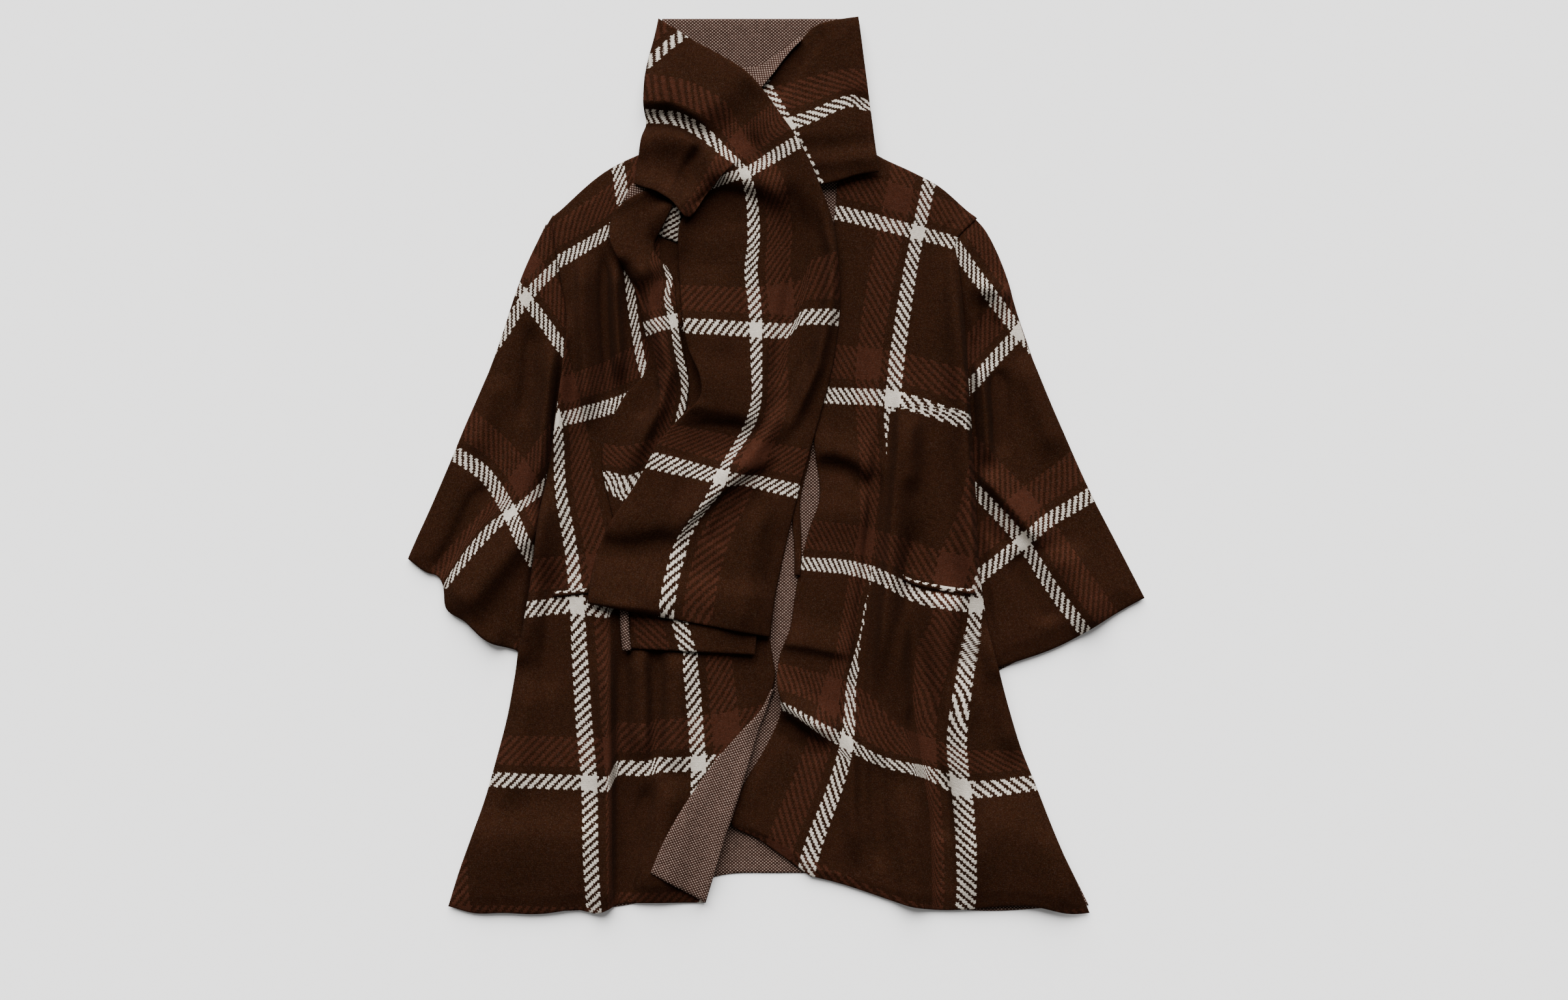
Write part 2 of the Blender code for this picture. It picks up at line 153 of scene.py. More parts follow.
# Front halves of the sleeves: overarm edge to the edge tucked under the front
SLEEVE_RIGHT_FRONT = (
    (850, 330, 886, 490), (829, 366, 882, 540), (808, 410, 878, 590),
    (791, 455, 872, 650), (775, 505, 864, 705), (757, 557, 856, 755),
    (738, 603, 850, 795), (715, 655, 843, 835), (690, 715, 836, 880),
    (662, 780, 828, 925), (641, 826, 818, 970), (627, 858, 811, 1003),
)
SLEEVE_RIGHT_WAVES = (Wave(1, 0.62, 0.26, 31), Wave(1, 0.27, 0.09, -14), Wave(1, 0.40, 0.07, 6, -14))
SLEEVE_RIGHT_FOLDS = (
    (34, 20, 0.012, ((850, 790), (796, 836), (756, 884), (728, 920), (706, 965))),
    (14, 9, -0.010, ((752, 735), (725, 790), (698, 845), (665, 890))),
    (8, 7, -0.010, ((864, 500), (859, 600), (846, 740), (824, 880), (803, 1000))),
    (13, 12, 0.011, ((853, 510), (845, 600), (832, 700), (818, 780))),
    (12, 12, -0.006, ((818, 490), (812, 580), (800, 660))),
    (22, 22, 0.005, ((770, 570), (745, 650), (725, 710))),
    (20, 24, 0.006, ((705, 960), (740, 985), (780, 990))),
)
SLEEVE_RIGHT_TUCKS = (Tuck(4, 0, 0.12, 740, 2000, ((790, 755), (745, 800), (715, 838), (684, 892))),)
SLEEVE_RIGHT_ACROSS = (
    (808, 458, 0), (842, 503, 0), (872, 545, 0),
    (698, 697, -1), (740, 722, -1), (785, 788, -1), (818, 855, -1),
    (868, 397, 0.42), (846, 345, 0.50),
)
SLEEVE_RIGHT_ALONG = (
    (868, 397, 0), (808, 458, 0), (775, 510, 0),
    (838, 745, 1), (785, 788, 1), (735, 832, 1), (690, 890, 1),
    (846, 345, -0.27), (872, 490, 0.33),
)

SLEEVE_LEFT_FRONT = (
    (1462, 366, 1494, 333), (1459, 425, 1513, 355), (1462, 480, 1530, 387),
    (1467, 540, 1545, 425), (1472, 600, 1558, 470), (1477, 660, 1573, 520),
    (1482, 720, 1593, 572), (1485, 780, 1617, 630), (1487, 840, 1645, 693),
    (1492, 900, 1677, 763), (1500, 950, 1710, 827), (1510, 990, 1735, 875),
    (1521, 1027, 1757, 917),
)
SLEEVE_LEFT_WAVES = (Wave(1, 0.45, 0.35, 14),)
SLEEVE_LEFT_FOLDS = (
    (9, 9, -0.009, ((1474, 420), (1488, 600), (1497, 760), (1508, 900), (1530, 1010))),
    (9, 11, 0.013, ((1500, 540), (1508, 610), (1514, 680), (1516, 730))),
    (10, 16, -0.013, ((1528, 560), (1532, 640), (1530, 705))),
    (10, 24, 0.012, ((1494, 715), (1530, 758), (1566, 798), (1602, 848))),
    (13, 11, -0.009, ((1492, 768), (1520, 805), (1552, 842))),
    (22, 22, 0.006, ((1565, 540), (1600, 630), (1630, 710))),
    (18, 16, -0.012, ((1556, 845), (1590, 900), (1616, 960))),
    (24, 28, 0.010, ((1625, 830), (1657, 910), (1684, 985))),
    (20, 20, -0.012, ((1516, 440), (1515, 520), (1506, 580))),
    (72, 22, 0.008, ((1486, 450), (1518, 450), (1552, 466))),
)
SLEEVE_LEFT_ACROSS = (
    (1565, 510, -1), (1530, 548, -1), (1493, 590, -1),
    (1675, 760, -2), (1600, 805, -2), (1570, 832, -2), (1510, 880, -2),
    (1462, 372, -0.24), (1500, 340, -0.36),
)
SLEEVE_LEFT_ALONG = (
    (1462, 372, 0), (1510, 440, 0), (1565, 510, 0),
    (1500, 755, 1), (1570, 832, 1), (1620, 910, 1), (1670, 975, 1),
    (1500, 340, -0.20),
)

# Fronts: shoulder to hem, each section from left to right
FRONT_RIGHT = (
    (848, 342, 990, 244), (858, 410, 1008, 300), (872, 490, 1060, 385),
    (868, 545, 1085, 470), (861, 600, 1105, 555), (852, 665, 1122, 640),
    (843, 720, 1135, 710), (830, 790, 1150, 790), (819, 870, 1165, 880),
    (810, 930, 1175, 940), (797, 1000, 1187, 1010), (790, 1045, 1190, 1045),
    (780, 1100, 1172, 1100), (763, 1165, 1152, 1165), (745, 1228, 1133, 1228),
    (725, 1285, 1113, 1285), (706, 1335, 1098, 1338), (689, 1386, 1083, 1386),
)
FRONT_RIGHT_WAVES = (
    Wave(0, 0.55, 0.50, -21),
    Wave(1, 0.10, 0.10, 11),
    Wave(1, 0.33, 0.20, 17),
    Wave(1, 0.58, 0.06, 12),
)
FRONT_RIGHT_FOLDS = (
    (13, 18, 0.014, ((892, 370), (897, 460), (901, 560), (902, 670))),
    (7, 7, -0.012, ((929, 380), (928, 470), (933, 560), (941, 630))),
    (11, 7, 0.014, ((946, 390), (949, 480), (956, 600))),
    (8, 8, -0.012, ((962, 390), (974, 470), (986, 550), (992, 610))),
    (20, 7, 0.013, ((935, 930), (937, 1060), (937, 1200), (936, 1480))),
    (7, 14, -0.010, ((954, 940), (955, 1100), (953, 1300), (948, 1480))),
    (13, 13, -0.010, ((1004, 1190), (985, 1260), (964, 1330), (950, 1420))),
    (9, 9, -0.012, ((1007, 960), (1009, 1080), (1006, 1190))),
    (22, 12, 0.008, ((985, 980), (990, 1090), (992, 1180))),
    (20, 22, 0.008, ((1045, 980), (1040, 1080), (1036, 1200))),
    (26, 24, 0.009, ((1040, 1180), (1020, 1260), (1005, 1400))),
    (24, 24, 0.006, ((815, 1030), (800, 1150), (785, 1250))),
    (84, 40, 0.009, ((680, 1296), (760, 1288), (820, 1286), (900, 1290), (950, 1300))),
    (7, 14, 0.010, ((870, 460), (862, 590), (850, 730))),
    (9, 22, 0.008, ((846, 720), (824, 880), (806, 1020))),
    (16, 16, -0.007, ((850, 860), (846, 980), (842, 1080))),
    (22, 22, -0.008, ((1005, 320), (1022, 385), (1035, 460))),
    (26, 26, -0.010, ((1052, 490), (1064, 580), (1056, 670))),
)
FRONT_RIGHT_TUCKS = (
    Tuck(4, 0.36, 0.09, 880, 1600, ((941, 880), (942, 1100), (943, 1480))),
    Tuck(4, 0.05, 0.02, 960, 1270, ((1004, 960), (1005, 1200), (995, 1330))),
    Tuck(0, 0, 0.40, 470, 700, ((1032, 380), (1032, 740))),
)
FRONT_RIGHT_ACROSS = (
    (858, 648, 0), (861, 740, 0), (874, 820, 0), (887, 928, 0), (891, 1000, 0),
    (898, 1110, 0), (906, 1200, 0), (909, 1320, 0), (914, 1402, 0),
    (950, 258, 1), (957, 310, 1), (967, 435, 1), (987, 565, 1),
    (1062, 1000, 1), (1068, 1100, 1), (1073, 1172, 1), (1082, 1380, 1),
    (868, 397, 0.42), (846, 345, 0.50), (776, 1100, -0.46), (700, 1370, -0.82),
)
FRONT_RIGHT_ALONG = (
    (935, 355, 0), (868, 397, 0), (963, 615, 1), (910, 632, 1), (858, 645, 1),
    (808, 935, 2), (887, 928, 2), (938, 932, 2),
    (755, 1195, 3), (830, 1198, 3), (905, 1200, 3), (1005, 1175, 3), (1095, 1169, 3),
    (914, 1402, 3.77), (720, 1396, 3.76), (1060, 1383, 3.80),
    (905, 283, -0.36), (846, 345, -0.27), (872, 490, 0.36), (1030, 385, 0.40),
)

FRONT_LEFT = (
    (1346, 239, 1500, 338), (1292, 272, 1468, 372), (1283, 320, 1472, 412),
    (1276, 400, 1478, 470), (1268, 490, 1484, 540), (1262, 580, 1488, 610),
    (1250, 672, 1493, 680), (1259, 758, 1498, 760), (1243, 812, 1500, 820),
    (1229, 868, 1503, 870), (1220, 920, 1509, 920), (1213, 965, 1517, 965),
    (1198, 1005, 1526, 1005), (1193, 1045, 1536, 1042), (1199, 1092, 1549, 1090),
    (1176, 1147, 1566, 1145), (1141, 1206, 1590, 1205), (1122, 1262, 1613, 1265),
    (1165, 1288, 1632, 1310), (1205, 1315, 1652, 1350), (1245, 1342, 1673, 1395),
)
FRONT_LEFT_WAVES = (
    Wave(0, 0.30, 0.20, -5),
    Wave(0, 0.62, 0.26, -13),
    Wave(1, 0.42, 0.28, 31),
    Wave(1, 0.93, 0.10, 10),
)
FRONT_LEFT_FOLDS = (
    (10, 26, 0.016, ((1386, 560), (1379, 690), (1370, 800), (1361, 900), (1352, 1000), (1344, 1090))),
    (9, 8, -0.014, ((1348, 650), (1343, 760), (1336, 860), (1324, 950), (1317, 1050), (1326, 1150))),
    (16, 24, -0.013, ((1404, 780), (1398, 880), (1404, 1000), (1416, 1100), (1432, 1190))),
    (14, 14, 0.006, ((1402, 630), (1400, 690), (1398, 760))),
    (14, 30, 0.007, ((1236, 694), (1285, 698), (1318, 711), (1356, 750))),
    (12, 14, -0.007, ((1250, 714), (1300, 721), (1346, 757))),
    (36, 30, 0.005, ((1220, 784), (1290, 789), (1356, 801))),
    (9, 28, 0.005, ((1185, 984), (1240, 991), (1315, 1006))),
    (13, 22, 0.013, ((1126, 980), (1166, 1032), (1202, 1076), (1236, 1103), (1300, 1140))),
    (20, 10, -0.008, ((1196, 1102), (1230, 1128), (1275, 1160))),
    (16, 10, 0.007, ((1308, 1080), (1309, 1160), (1308, 1240), (1316, 1340))),
    (9, 14, -0.008, ((1342, 1150), (1345, 1230), (1350, 1340))),
    (22, 22, 0.007, ((1390, 1190), (1395, 1290), (1402, 1480))),
    (18, 9, -0.014, ((1398, 1080), (1426, 1150), (1447, 1210), (1456, 1300))),
    (20, 24, 0.012, ((1476, 1000), (1474, 1120), (1484, 1230), (1490, 1400))),
    (18, 16, 0.009, ((1518, 950), (1535, 1060), (1560, 1180))),
    (84, 50, 0.011, ((1470, 1264), (1550, 1276), (1620, 1316), (1700, 1376))),
    (150, 14, 0.010, ((1384, 914), (1408, 920), (1440, 926), (1484, 932))),
    (10, 10, -0.006, ((1500, 332), (1468, 372), (1468, 402))),
    (26, 7, 0.013, ((1452, 376), (1468, 470), (1480, 600), (1488, 800), (1504, 980))),
)
FRONT_LEFT_TUCKS = (
    Tuck(0, -0.42, 0, 620, 960,
         ((1368, 620), (1360, 700), (1352, 780), (1343, 850), (1333, 910), (1318, 1010))),
    Tuck(8, -0.42, 0, 960, 1600, ((1392, 950), (1394, 1080), (1408, 1150), (1425, 1260), (1430, 1480))),
    Tuck(3, 0, -0.10, 1050, 1130, ((1190, 1070), (1225, 1098), (1262, 1132), (1300, 1160))),
)
FRONT_LEFT_ACROSS = (
    (1428, 275, 0), (1410, 356, 0), (1390, 460, 0), (1378, 540, 0), (1369, 620, 0),
    (1315, 650, 0.27), (1345, 650, 0.10), (1317, 700, 0.28), (1349, 700, 0.10),
    (1320, 760, 0.27), (1349, 760, 0.10), (1322, 800, 0.26), (1343, 800, 0.10),
    (1296, 930, 0.27), (1318, 930, 0.10), (1283, 1000, 0.27), (1306, 1000, 0.09),
    (1308, 1040, 0), (1305, 1090, 0), (1298, 1150, 0), (1262, 1260, 0), (1240, 1325, 0),
    (1268, 1045, 0.26),
    (1500, 910, -1), (1490, 985, -1), (1477, 1060, -1), (1468, 1150, -1), (1478, 1230, -1),
    (1483, 1310, -1), (1482, 1397, -1), (1435, 950, -0.75), (1468, 790, -0.73),
    (1462, 372, -0.24), (1500, 340, -0.36), (1487, 648, -0.44), (1660, 1390, -1.68),
)
FRONT_LEFT_ALONG = (
    (1288, 327, 0), (1410, 358, 0), (1462, 372, 0), (1500, 340, -0.20),
    (1275, 607, 1), (1372, 612, 1), (1487, 648, 1),
    (1240, 865, 2), (1300, 870, 2), (1360, 888, 2), (1405, 913, 2), (1503, 928, 2),
    (1240, 1108, 3), (1303, 1140, 3), (1345, 1165, 3), (1420, 1183, 3),
    (1476, 1207, 3), (1585, 1200, 3), (1483, 1397, 3.73), (1660, 1395, 3.74),
)

# Pocket lips along the slits
WELT_RIGHT = ((850, 908, 850, 916), (877, 906, 877, 914), (905, 903, 905, 911))
WELT_LEFT = (
    (1386, 882, 1386, 890), (1400, 889, 1400, 897), (1430, 896, 1430, 904),
    (1460, 901, 1460, 909), (1496, 904, 1496, 912),
)
WELT_FIRST, WELT_RUN = 0.030, 0.040

# Turn-back of the right front: cut edge to fold line
TURN_BACK = (
    (1184, 1058, 1190, 1060), (1168, 1090, 1178, 1092), (1140, 1120, 1166, 1119),
    (1105, 1160, 1153, 1163), (1075, 1200, 1141, 1203), (1045, 1245, 1127, 1247),
    (1020, 1290, 1111, 1295), (1000, 1337, 1084, 1385),
)
TURN_BACK_FOLDS = ((12, 14, 0.006, ((1158, 1130), (1120, 1250), (1085, 1400))),)

# Scarf collar
SCARF_BACK = (
    (1017, 29, 1314, 29), (1010, 75, 1316, 90), (1004, 120, 1318, 120),
    (1003, 175, 1322, 175), (1000, 215, 1326, 210), (998, 243, 1330, 243),
)

SCARF_RIGHT_WRAP = (
    (1318, 27, 1349, 267), (1280, 32, 1315, 272), (1250, 42, 1285, 281),
    (1225, 68, 1257, 286), (1205, 93, 1232, 288), (1180, 122, 1205, 285),
    (1160, 140, 1180, 278),
)
SCARF_RIGHT_WRAP_FOLDS = (
    (26, 60, 0.007, ((1150, 212), (1240, 207), (1290, 203), (1400, 198))),
    (16, 16, 0.004, ((1205, 254), (1290, 247), (1400, 240))),
    (16, 14, -0.007, ((1262, 40), (1232, 80), (1205, 120), (1185, 160))),
    (26, 20, 0.007, ((1330, 10), (1318, 90), (1325, 170))),
)
SCARF_RIGHT_WRAP_ACROSS = (
    (1332, 166, 0), (1308, 156, 0), (1280, 166, 0), (1250, 180, 0), (1213, 193, 0),
    (1330, 130, 0.18), (1280, 132, 0.17), (1235, 146, 0.17), (1337, 198, -0.17),
    (1320, 30, 0.55), (1220, 80, 0.45), (1346, 266, -0.42), (1262, 285, -0.40),
)
SCARF_RIGHT_WRAP_ALONG = (
    (1169, 134, 0), (1191, 170, 0), (1216, 217, 0), (1250, 282, 0),
    (1332, 160, 0.46), (1319, 30, 0.5), (1347, 265, 0.36),
)
# Rolled edge of the right wrap, its reverse upwards
SCARF_RIGHT_WRAP_TURN = (
    (1138, 106, 1168, 140), (1168, 101, 1186, 118), (1190, 86, 1202, 96),
    (1210, 71, 1217, 78), (1229, 57, 1233, 62),
)

# Turned neck edge beside the under tail, its reverse upwards
SCARF_NECK_TURN = ((954, 314, 972, 283), (969, 308, 985, 285), (990, 300, 997, 288))

# Fold of the neck edge between the wrap and the tails
SCARF_NECK_FOLD = ((1020, 322, 1046, 316), (1013, 345, 1046, 347), (1008, 361, 1043, 374))
NECK_FOLD_RUN = 0.075
NECK_FOLD_SLANT = 0.2
NECK_FOLD_SQUARES = 160

SCARF_UNDER_TAIL = (
    (1000, 291, 1036, 308), (968, 306, 1034, 320), (945, 326, 1027, 335),
    (937, 348, 1016, 356), (938, 370, 1006, 374), (946, 392, 1009, 393),
    (958, 413, 1026, 413), (972, 438, 1036, 438), (982, 465, 1039, 467),
    (989, 500, 1044, 505), (998, 545, 1053, 550), (988, 578, 1058, 588),
    (962, 606, 1055, 618), (943, 640, 1050, 650), (928, 680, 1040, 690),
    (926, 720, 1035, 730), (935, 765, 1020, 770), (943, 797, 1000, 805),
)
SCARF_UNDER_TAIL_FOLDS = (
    (11, 40, 0.009, ((912, 364), (944, 387), (966, 410), (992, 452))),
    (14, 12, 0.006, ((985, 390), (994, 430), (1004, 480), (1014, 530))),
    (14, 12, 0.012, ((1004, 470), (1020, 530), (1030, 570), (1015, 625), (990, 670), (965, 740))),
    (10, 10, -0.006, ((952, 395), (968, 430), (985, 480))),
    (12, 12, -0.008, ((985, 565), (1002, 598), (980, 645))),
)
SCARF_UNDER_TAIL_ACROSS = (
    (1022, 410, 0), (1029, 428, 0), (1024, 455, 0), (1034, 490, 0), (1041, 535, 0),
    (1051, 580, 0), (1052, 612, 0), (1044, 640, 0),
    (1014, 430, 0.15), (1002, 430, 0.31), (1024, 550, 0.15), (1003, 550, 0.30),
    (1004, 380, 0.30), (1020, 340, 0.32), (1030, 315, 0.30), (937, 360, 0.60), (975, 370, 0.44),
    (960, 420, 0.48), (1012, 640, 0.28), (960, 690, 0.50), (928, 690, 0.62), (960, 780, 0.50),
)
SCARF_UNDER_TAIL_ALONG = (
    (985, 508, 0), (1010, 500, 0), (1047, 490, 0),
    (938, 733, 1), (960, 757, 1), (985, 733, 1), (960, 700, 0.80), (950, 790, 1.15),
    (1010, 600, 0.42), (990, 300, -0.72), (1034, 318, -0.72),
)

SCARF_UNDER_END = ((968, 895, 1160, 920), (962, 935, 1163, 960), (964, 995, 1160, 1005))
SCARF_UNDER_END_ACROSS = ((1043, 950, 0), (1053, 985, 0), (1160, 990, -0.35), (965, 990, 0.33))
SCARF_UNDER_END_ALONG = ((1050, 900, 0.2), (965, 990, 0.5), (1160, 1000, 0.5))
# Rolled left edge of the under end, its reverse upwards
SCARF_UNDER_END_ROLL = ((953, 930, 967, 931), (954, 965, 968, 966), (957, 998, 971, 998))
SCARF_UNDER_END_ROLL_FOLDS = ((6, 6, 0.003, ((961, 900), (964, 1030))),)
# Edge of the under layer that shows in the front opening
SCARF_UNDER_EDGE = (
    (1231, 672, 1249, 676), (1226, 705, 1243, 708), (1221, 735, 1235, 738),
    (1215, 770, 1229, 772), (1217, 810, 1230, 812), (1220, 850, 1231, 850),
    (1220, 884, 1229, 884),
)
UNDER_EDGE_FIRST_ACROSS, UNDER_EDGE_RUN_ACROSS = 0.5, 0.05
UNDER_EDGE_FIRST_ALONG, UNDER_EDGE_RUN_ALONG = 0.35, 0.3

# Left wrap and front tail in one: lower edge to upper edge, then left edge to right edge
# Its rows go on with the lift, the stripe's place, and the counts at the start, stripe and end
SCARF_TAIL = (
    (975, 285, 1012, 29, 0, 0.41, -0.55, -0.75, -1.22),
    (990, 291, 1040, 47, 0.004, 0.45, -0.48, -0.64, -1.05),
    (1010, 298, 1070, 66, 0.008, 0.49, -0.40, -0.54, -0.88),
    (1033, 313, 1100, 82, 0.011, 0.50, -0.32, -0.42, -0.69),
    (1058, 337, 1140, 107, 0.012, 0.50, -0.22, -0.31, -0.50),
    (1085, 302, 1170, 138, 0.012, 0.38, -0.14, -0.20, -0.36),
    (1106, 277, 1200, 180, 0.010, 0.27, -0.06, -0.11, -0.19),
    (1078, 305, 1222, 212, 0.003, 0.44, 0.10, -0.03, -0.04),
    (1046, 342, 1247, 258, 0, 0.53, 0.33, 0.14, 0.18),
    (1042, 395, 1278, 338, 0, 0.49, 0.55, 0.40, 0.50),
    (1045, 440, 1286, 390, 0, 0.45, 0.74, 0.62, 0.66),
    (1049, 490, 1290, 460, 0.005, 0.46, 0.96, 0.88, 0.82),
    (1057, 535, 1284, 530, 0.009, 0.46, 1.13, 1.10, 1.07),
    (1075, 578, 1274, 585, 0.010, 0.44, 1.32, 1.30, 1.28),
    (1075, 612, 1262, 630, 0.007, 0.46, 1.48, 1.46, 1.46),
    (1045, 642, 1250, 672, 0.002, 0.51, 1.67, 1.66, 1.66),
    (1012, 680, 1232, 735, 0, 0.50, 1.90, 1.89, 1.90),
    (988, 725, 1222, 775, 0, 0.49, 2.07, 2.07, 2.05),
    (960, 770, 1210, 825, 0, 0.46, 2.24, 2.24, 2.22),
    (935, 808, 1200, 870, 0, 0.43, 2.40, 2.40, 2.38),
    (915, 860, 1192, 910, 0, 0.43, 2.55, 2.55, 2.53),
    (906, 905, 1187, 945, 0, 0.43, 2.66, 2.66, 2.66),
    (904, 926, 1183, 978, 0, 0.43, 2.71, 2.71, 2.71),
)
SCARF_TAIL_WAVES = (Wave(0, 0.66, 0.22, 0, -8), Wave(0, 0.37, 0.06, 0, 5))
SCARF_REPEATS_ACROSS = 1.08
SCARF_TAIL_FOLDS = (
    (11, 76, 0.013, ((930, 162), (1030, 160), (1074, 181), (1104, 214))),
    (10, 10, -0.007, ((945, 186), (1030, 183), (1064, 200), (1086, 222))),
    (26, 15, 0.008, ((945, 224), (1010, 213), (1050, 217), (1085, 238), (1112, 262))),
    (8, 8, -0.008, ((1084, 214), (1062, 252), (1034, 322))),
    (12, 12, 0.004, ((1118, 230), (1088, 275), (1052, 335))),
    (20, 32, 0.010, ((1066, 262), (1105, 268), (1146, 280), (1188, 297), (1225, 309))),
    (24, 20, -0.012, ((1045, 340), (1110, 313), (1160, 318), (1195, 334))),
    (13, 12, -0.011, ((1206, 270), (1224, 350), (1226, 430), (1210, 510), (1186, 610))),
    (12, 10, 0.012, ((1252, 280), (1280, 390), (1275, 475), (1254, 565), (1220, 645), (1188, 690))),
    (24, 26, 0.004, ((1095, 400), (1108, 470), (1115, 560))),
    (20, 105, 0.008, ((1030, 606), (1085, 624), (1135, 633), (1190, 644))),
    (24, 16, -0.011, ((1010, 682), (1085, 670), (1160, 668))),
    (9, 16, 0.007, ((1210, 610), (1182, 664), (1148, 705), (1095, 742))),
    (26, 8, 0.010, ((1200, 692), (1145, 727), (1100, 759), (1060, 795), (1030, 842))),
    (8, 22, -0.007, ((1170, 745), (1120, 790), (1085, 840))),
    (26, 44, 0.004, ((905, 814), (985, 810), (1055, 794))),
    (16, 16, -0.005, ((895, 842), (975, 844), (1050, 828))),
    (12, 40, 0.008, ((880, 920), (980, 930), (1050, 942))),
    (24, 22, 0.007, ((1185, 740), (1165, 800), (1148, 880), (1130, 1010))),
)
SCARF_TAIL_TUCKS = (
    Tuck(4, 0.05, 0.085, 330, 530, ((1243, 330), (1238, 425), (1222, 500), (1188, 600))),
    Tuck(3, 0.030, 0, 630, 690, ((1170, 640), (1140, 685), (1100, 724), (1050, 745))),
    Tuck(3, 0.035, 0.03, 690, 790, ((1192, 706), (1150, 732), (1105, 764), (1062, 802), (1030, 850))),
)


def to_metres(x, y):
    return (x - DRAFT_CENTRE_X) * DRAFT_SQUARE, (DRAFT_CENTRE_Y - y) * DRAFT_SQUARE


def put_in_scene(name, data):
    thing = bpy.data.objects.new(name, data)
    bpy.context.scene.collection.objects.link(thing)
    return thing


def smooth_through(values, where):
    """Smooth curve through the values; where counts rows from 0."""
    values = np.asarray(values, dtype=float)
    before = 2 * values[0] - values[1]
    after = 2 * values[-1] - values[-2]
    padded = np.concatenate(([before], values, [after]))
    row = np.clip(where.astype(int), 0, len(values) - 2)
    part = where - row
    p0, p1, p2, p3 = (padded[row + step] for step in range(4))
    bend = 2 * p0 - 5 * p1 + 4 * p2 - p3
    twist = 3 * p1 - p0 - 3 * p2 + p3
    return 0.5 * (2 * p1 + (p2 - p0) * part + bend * part ** 2 + twist * part ** 3)


def straight_through(values, where):
    return np.interp(where, np.arange(len(values)), values)


def along_path(path, x, y):
    """Way along a path of the nearest point, distance to its right side, and the path's length."""
    way = np.zeros_like(x)
    right = np.full_like(x, np.inf)
    so_far = 0.0
    for (from_x, from_y), (to_x, to_y) in zip(path, path[1:]):
        run_x, run_y = to_x - from_x, to_y - from_y
        length = np.hypot(run_x, run_y)
        share = np.clip(((x - from_x) * run_x + (y - from_y) * run_y) / length ** 2, 0, 1)
        away = np.hypot(x - from_x - share * run_x, y - from_y - share * run_y)
        side = np.where((x - from_x) * run_y > (y - from_y) * run_x, 1.0, -1.0)
        nearer = away < np.abs(right)
        right = np.where(nearer, away * side, right)
        way = np.where(nearer, so_far + share * length, way)
        so_far += length
    return way, right, so_far


def eased(values):
    values = np.clip(values, 0, 1)
    return values * values * (3 - 2 * values)


def fold_height(folds, x, y):
    """Sum of the folds and troughs over each point, with an own slope on either side."""
    height = np.zeros_like(x)
    for left, right, top, path in folds:
        way, beside, length = along_path(path, x, y)
        spread = np.where(beside > 0, right, left)
        taper = eased(FOLD_TAPER * way / length) * eased(FOLD_TAPER * (1 - way / length))
        height += FOLD_DEPTH * top * taper * np.exp(-(beside / spread) ** 2)
    return height


def hidden_repeats(tucks, x, y, column):
    """Repeats of the plaid that the tucks hide before each point."""
    hidden = np.zeros_like(x)
    for tuck in tucks:
        _way, right, _length = along_path(tuck.path, x, y)
        fade = eased((y - tuck.starts) / TUCK_FADE) - eased((y - tuck.ends) / TUCK_FADE)
        beyond = 0.5 + 0.5 * np.tanh(right / max(tuck.soft, HARD_TUCK))
        hidden += getattr(tuck, column) * fade * beyond
    return hidden


def through_marks(marks, tucks, column, x, y):
    """Smooth count of the plaid's repeats through the given marks."""
    marks_x, marks_y, counts = np.array(marks, dtype=float).T
    counts = counts - hidden_repeats(tucks, marks_x, marks_y, column)
    at = np.stack((marks_x, marks_y), axis=-1) / REPEAT_SQUARES

    def plate(dx, dy):
        square = dx ** 2 + dy ** 2 + NEARLY_ZERO
        return square * np.log(square)

    size = len(marks)
    system = np.zeros((size + 3, size + 3))
    system[:size, :size] = plate(at[:, None, 0] - at[None, :, 0], at[:, None, 1] - at[None, :, 1])
    system[:size, :size] += MARK_SLACK * np.eye(size)
    system[:size, size] = 1
    system[:size, size + 1:] = at
    system[size:, :size] = system[:size, size:].T
    weights = np.linalg.solve(system, np.concatenate((counts, np.zeros(3))))
    across, along = x / REPEAT_SQUARES, y / REPEAT_SQUARES
    result = weights[size] + weights[size + 1] * across + weights[size + 2] * along
    for weight, (mark_x, mark_y) in zip(weights, at):
        result = result + weight * plate(across - mark_x, along - mark_y)
    return result + hidden_repeats([tuck for tuck in tucks if tuck.soft], x, y, column)


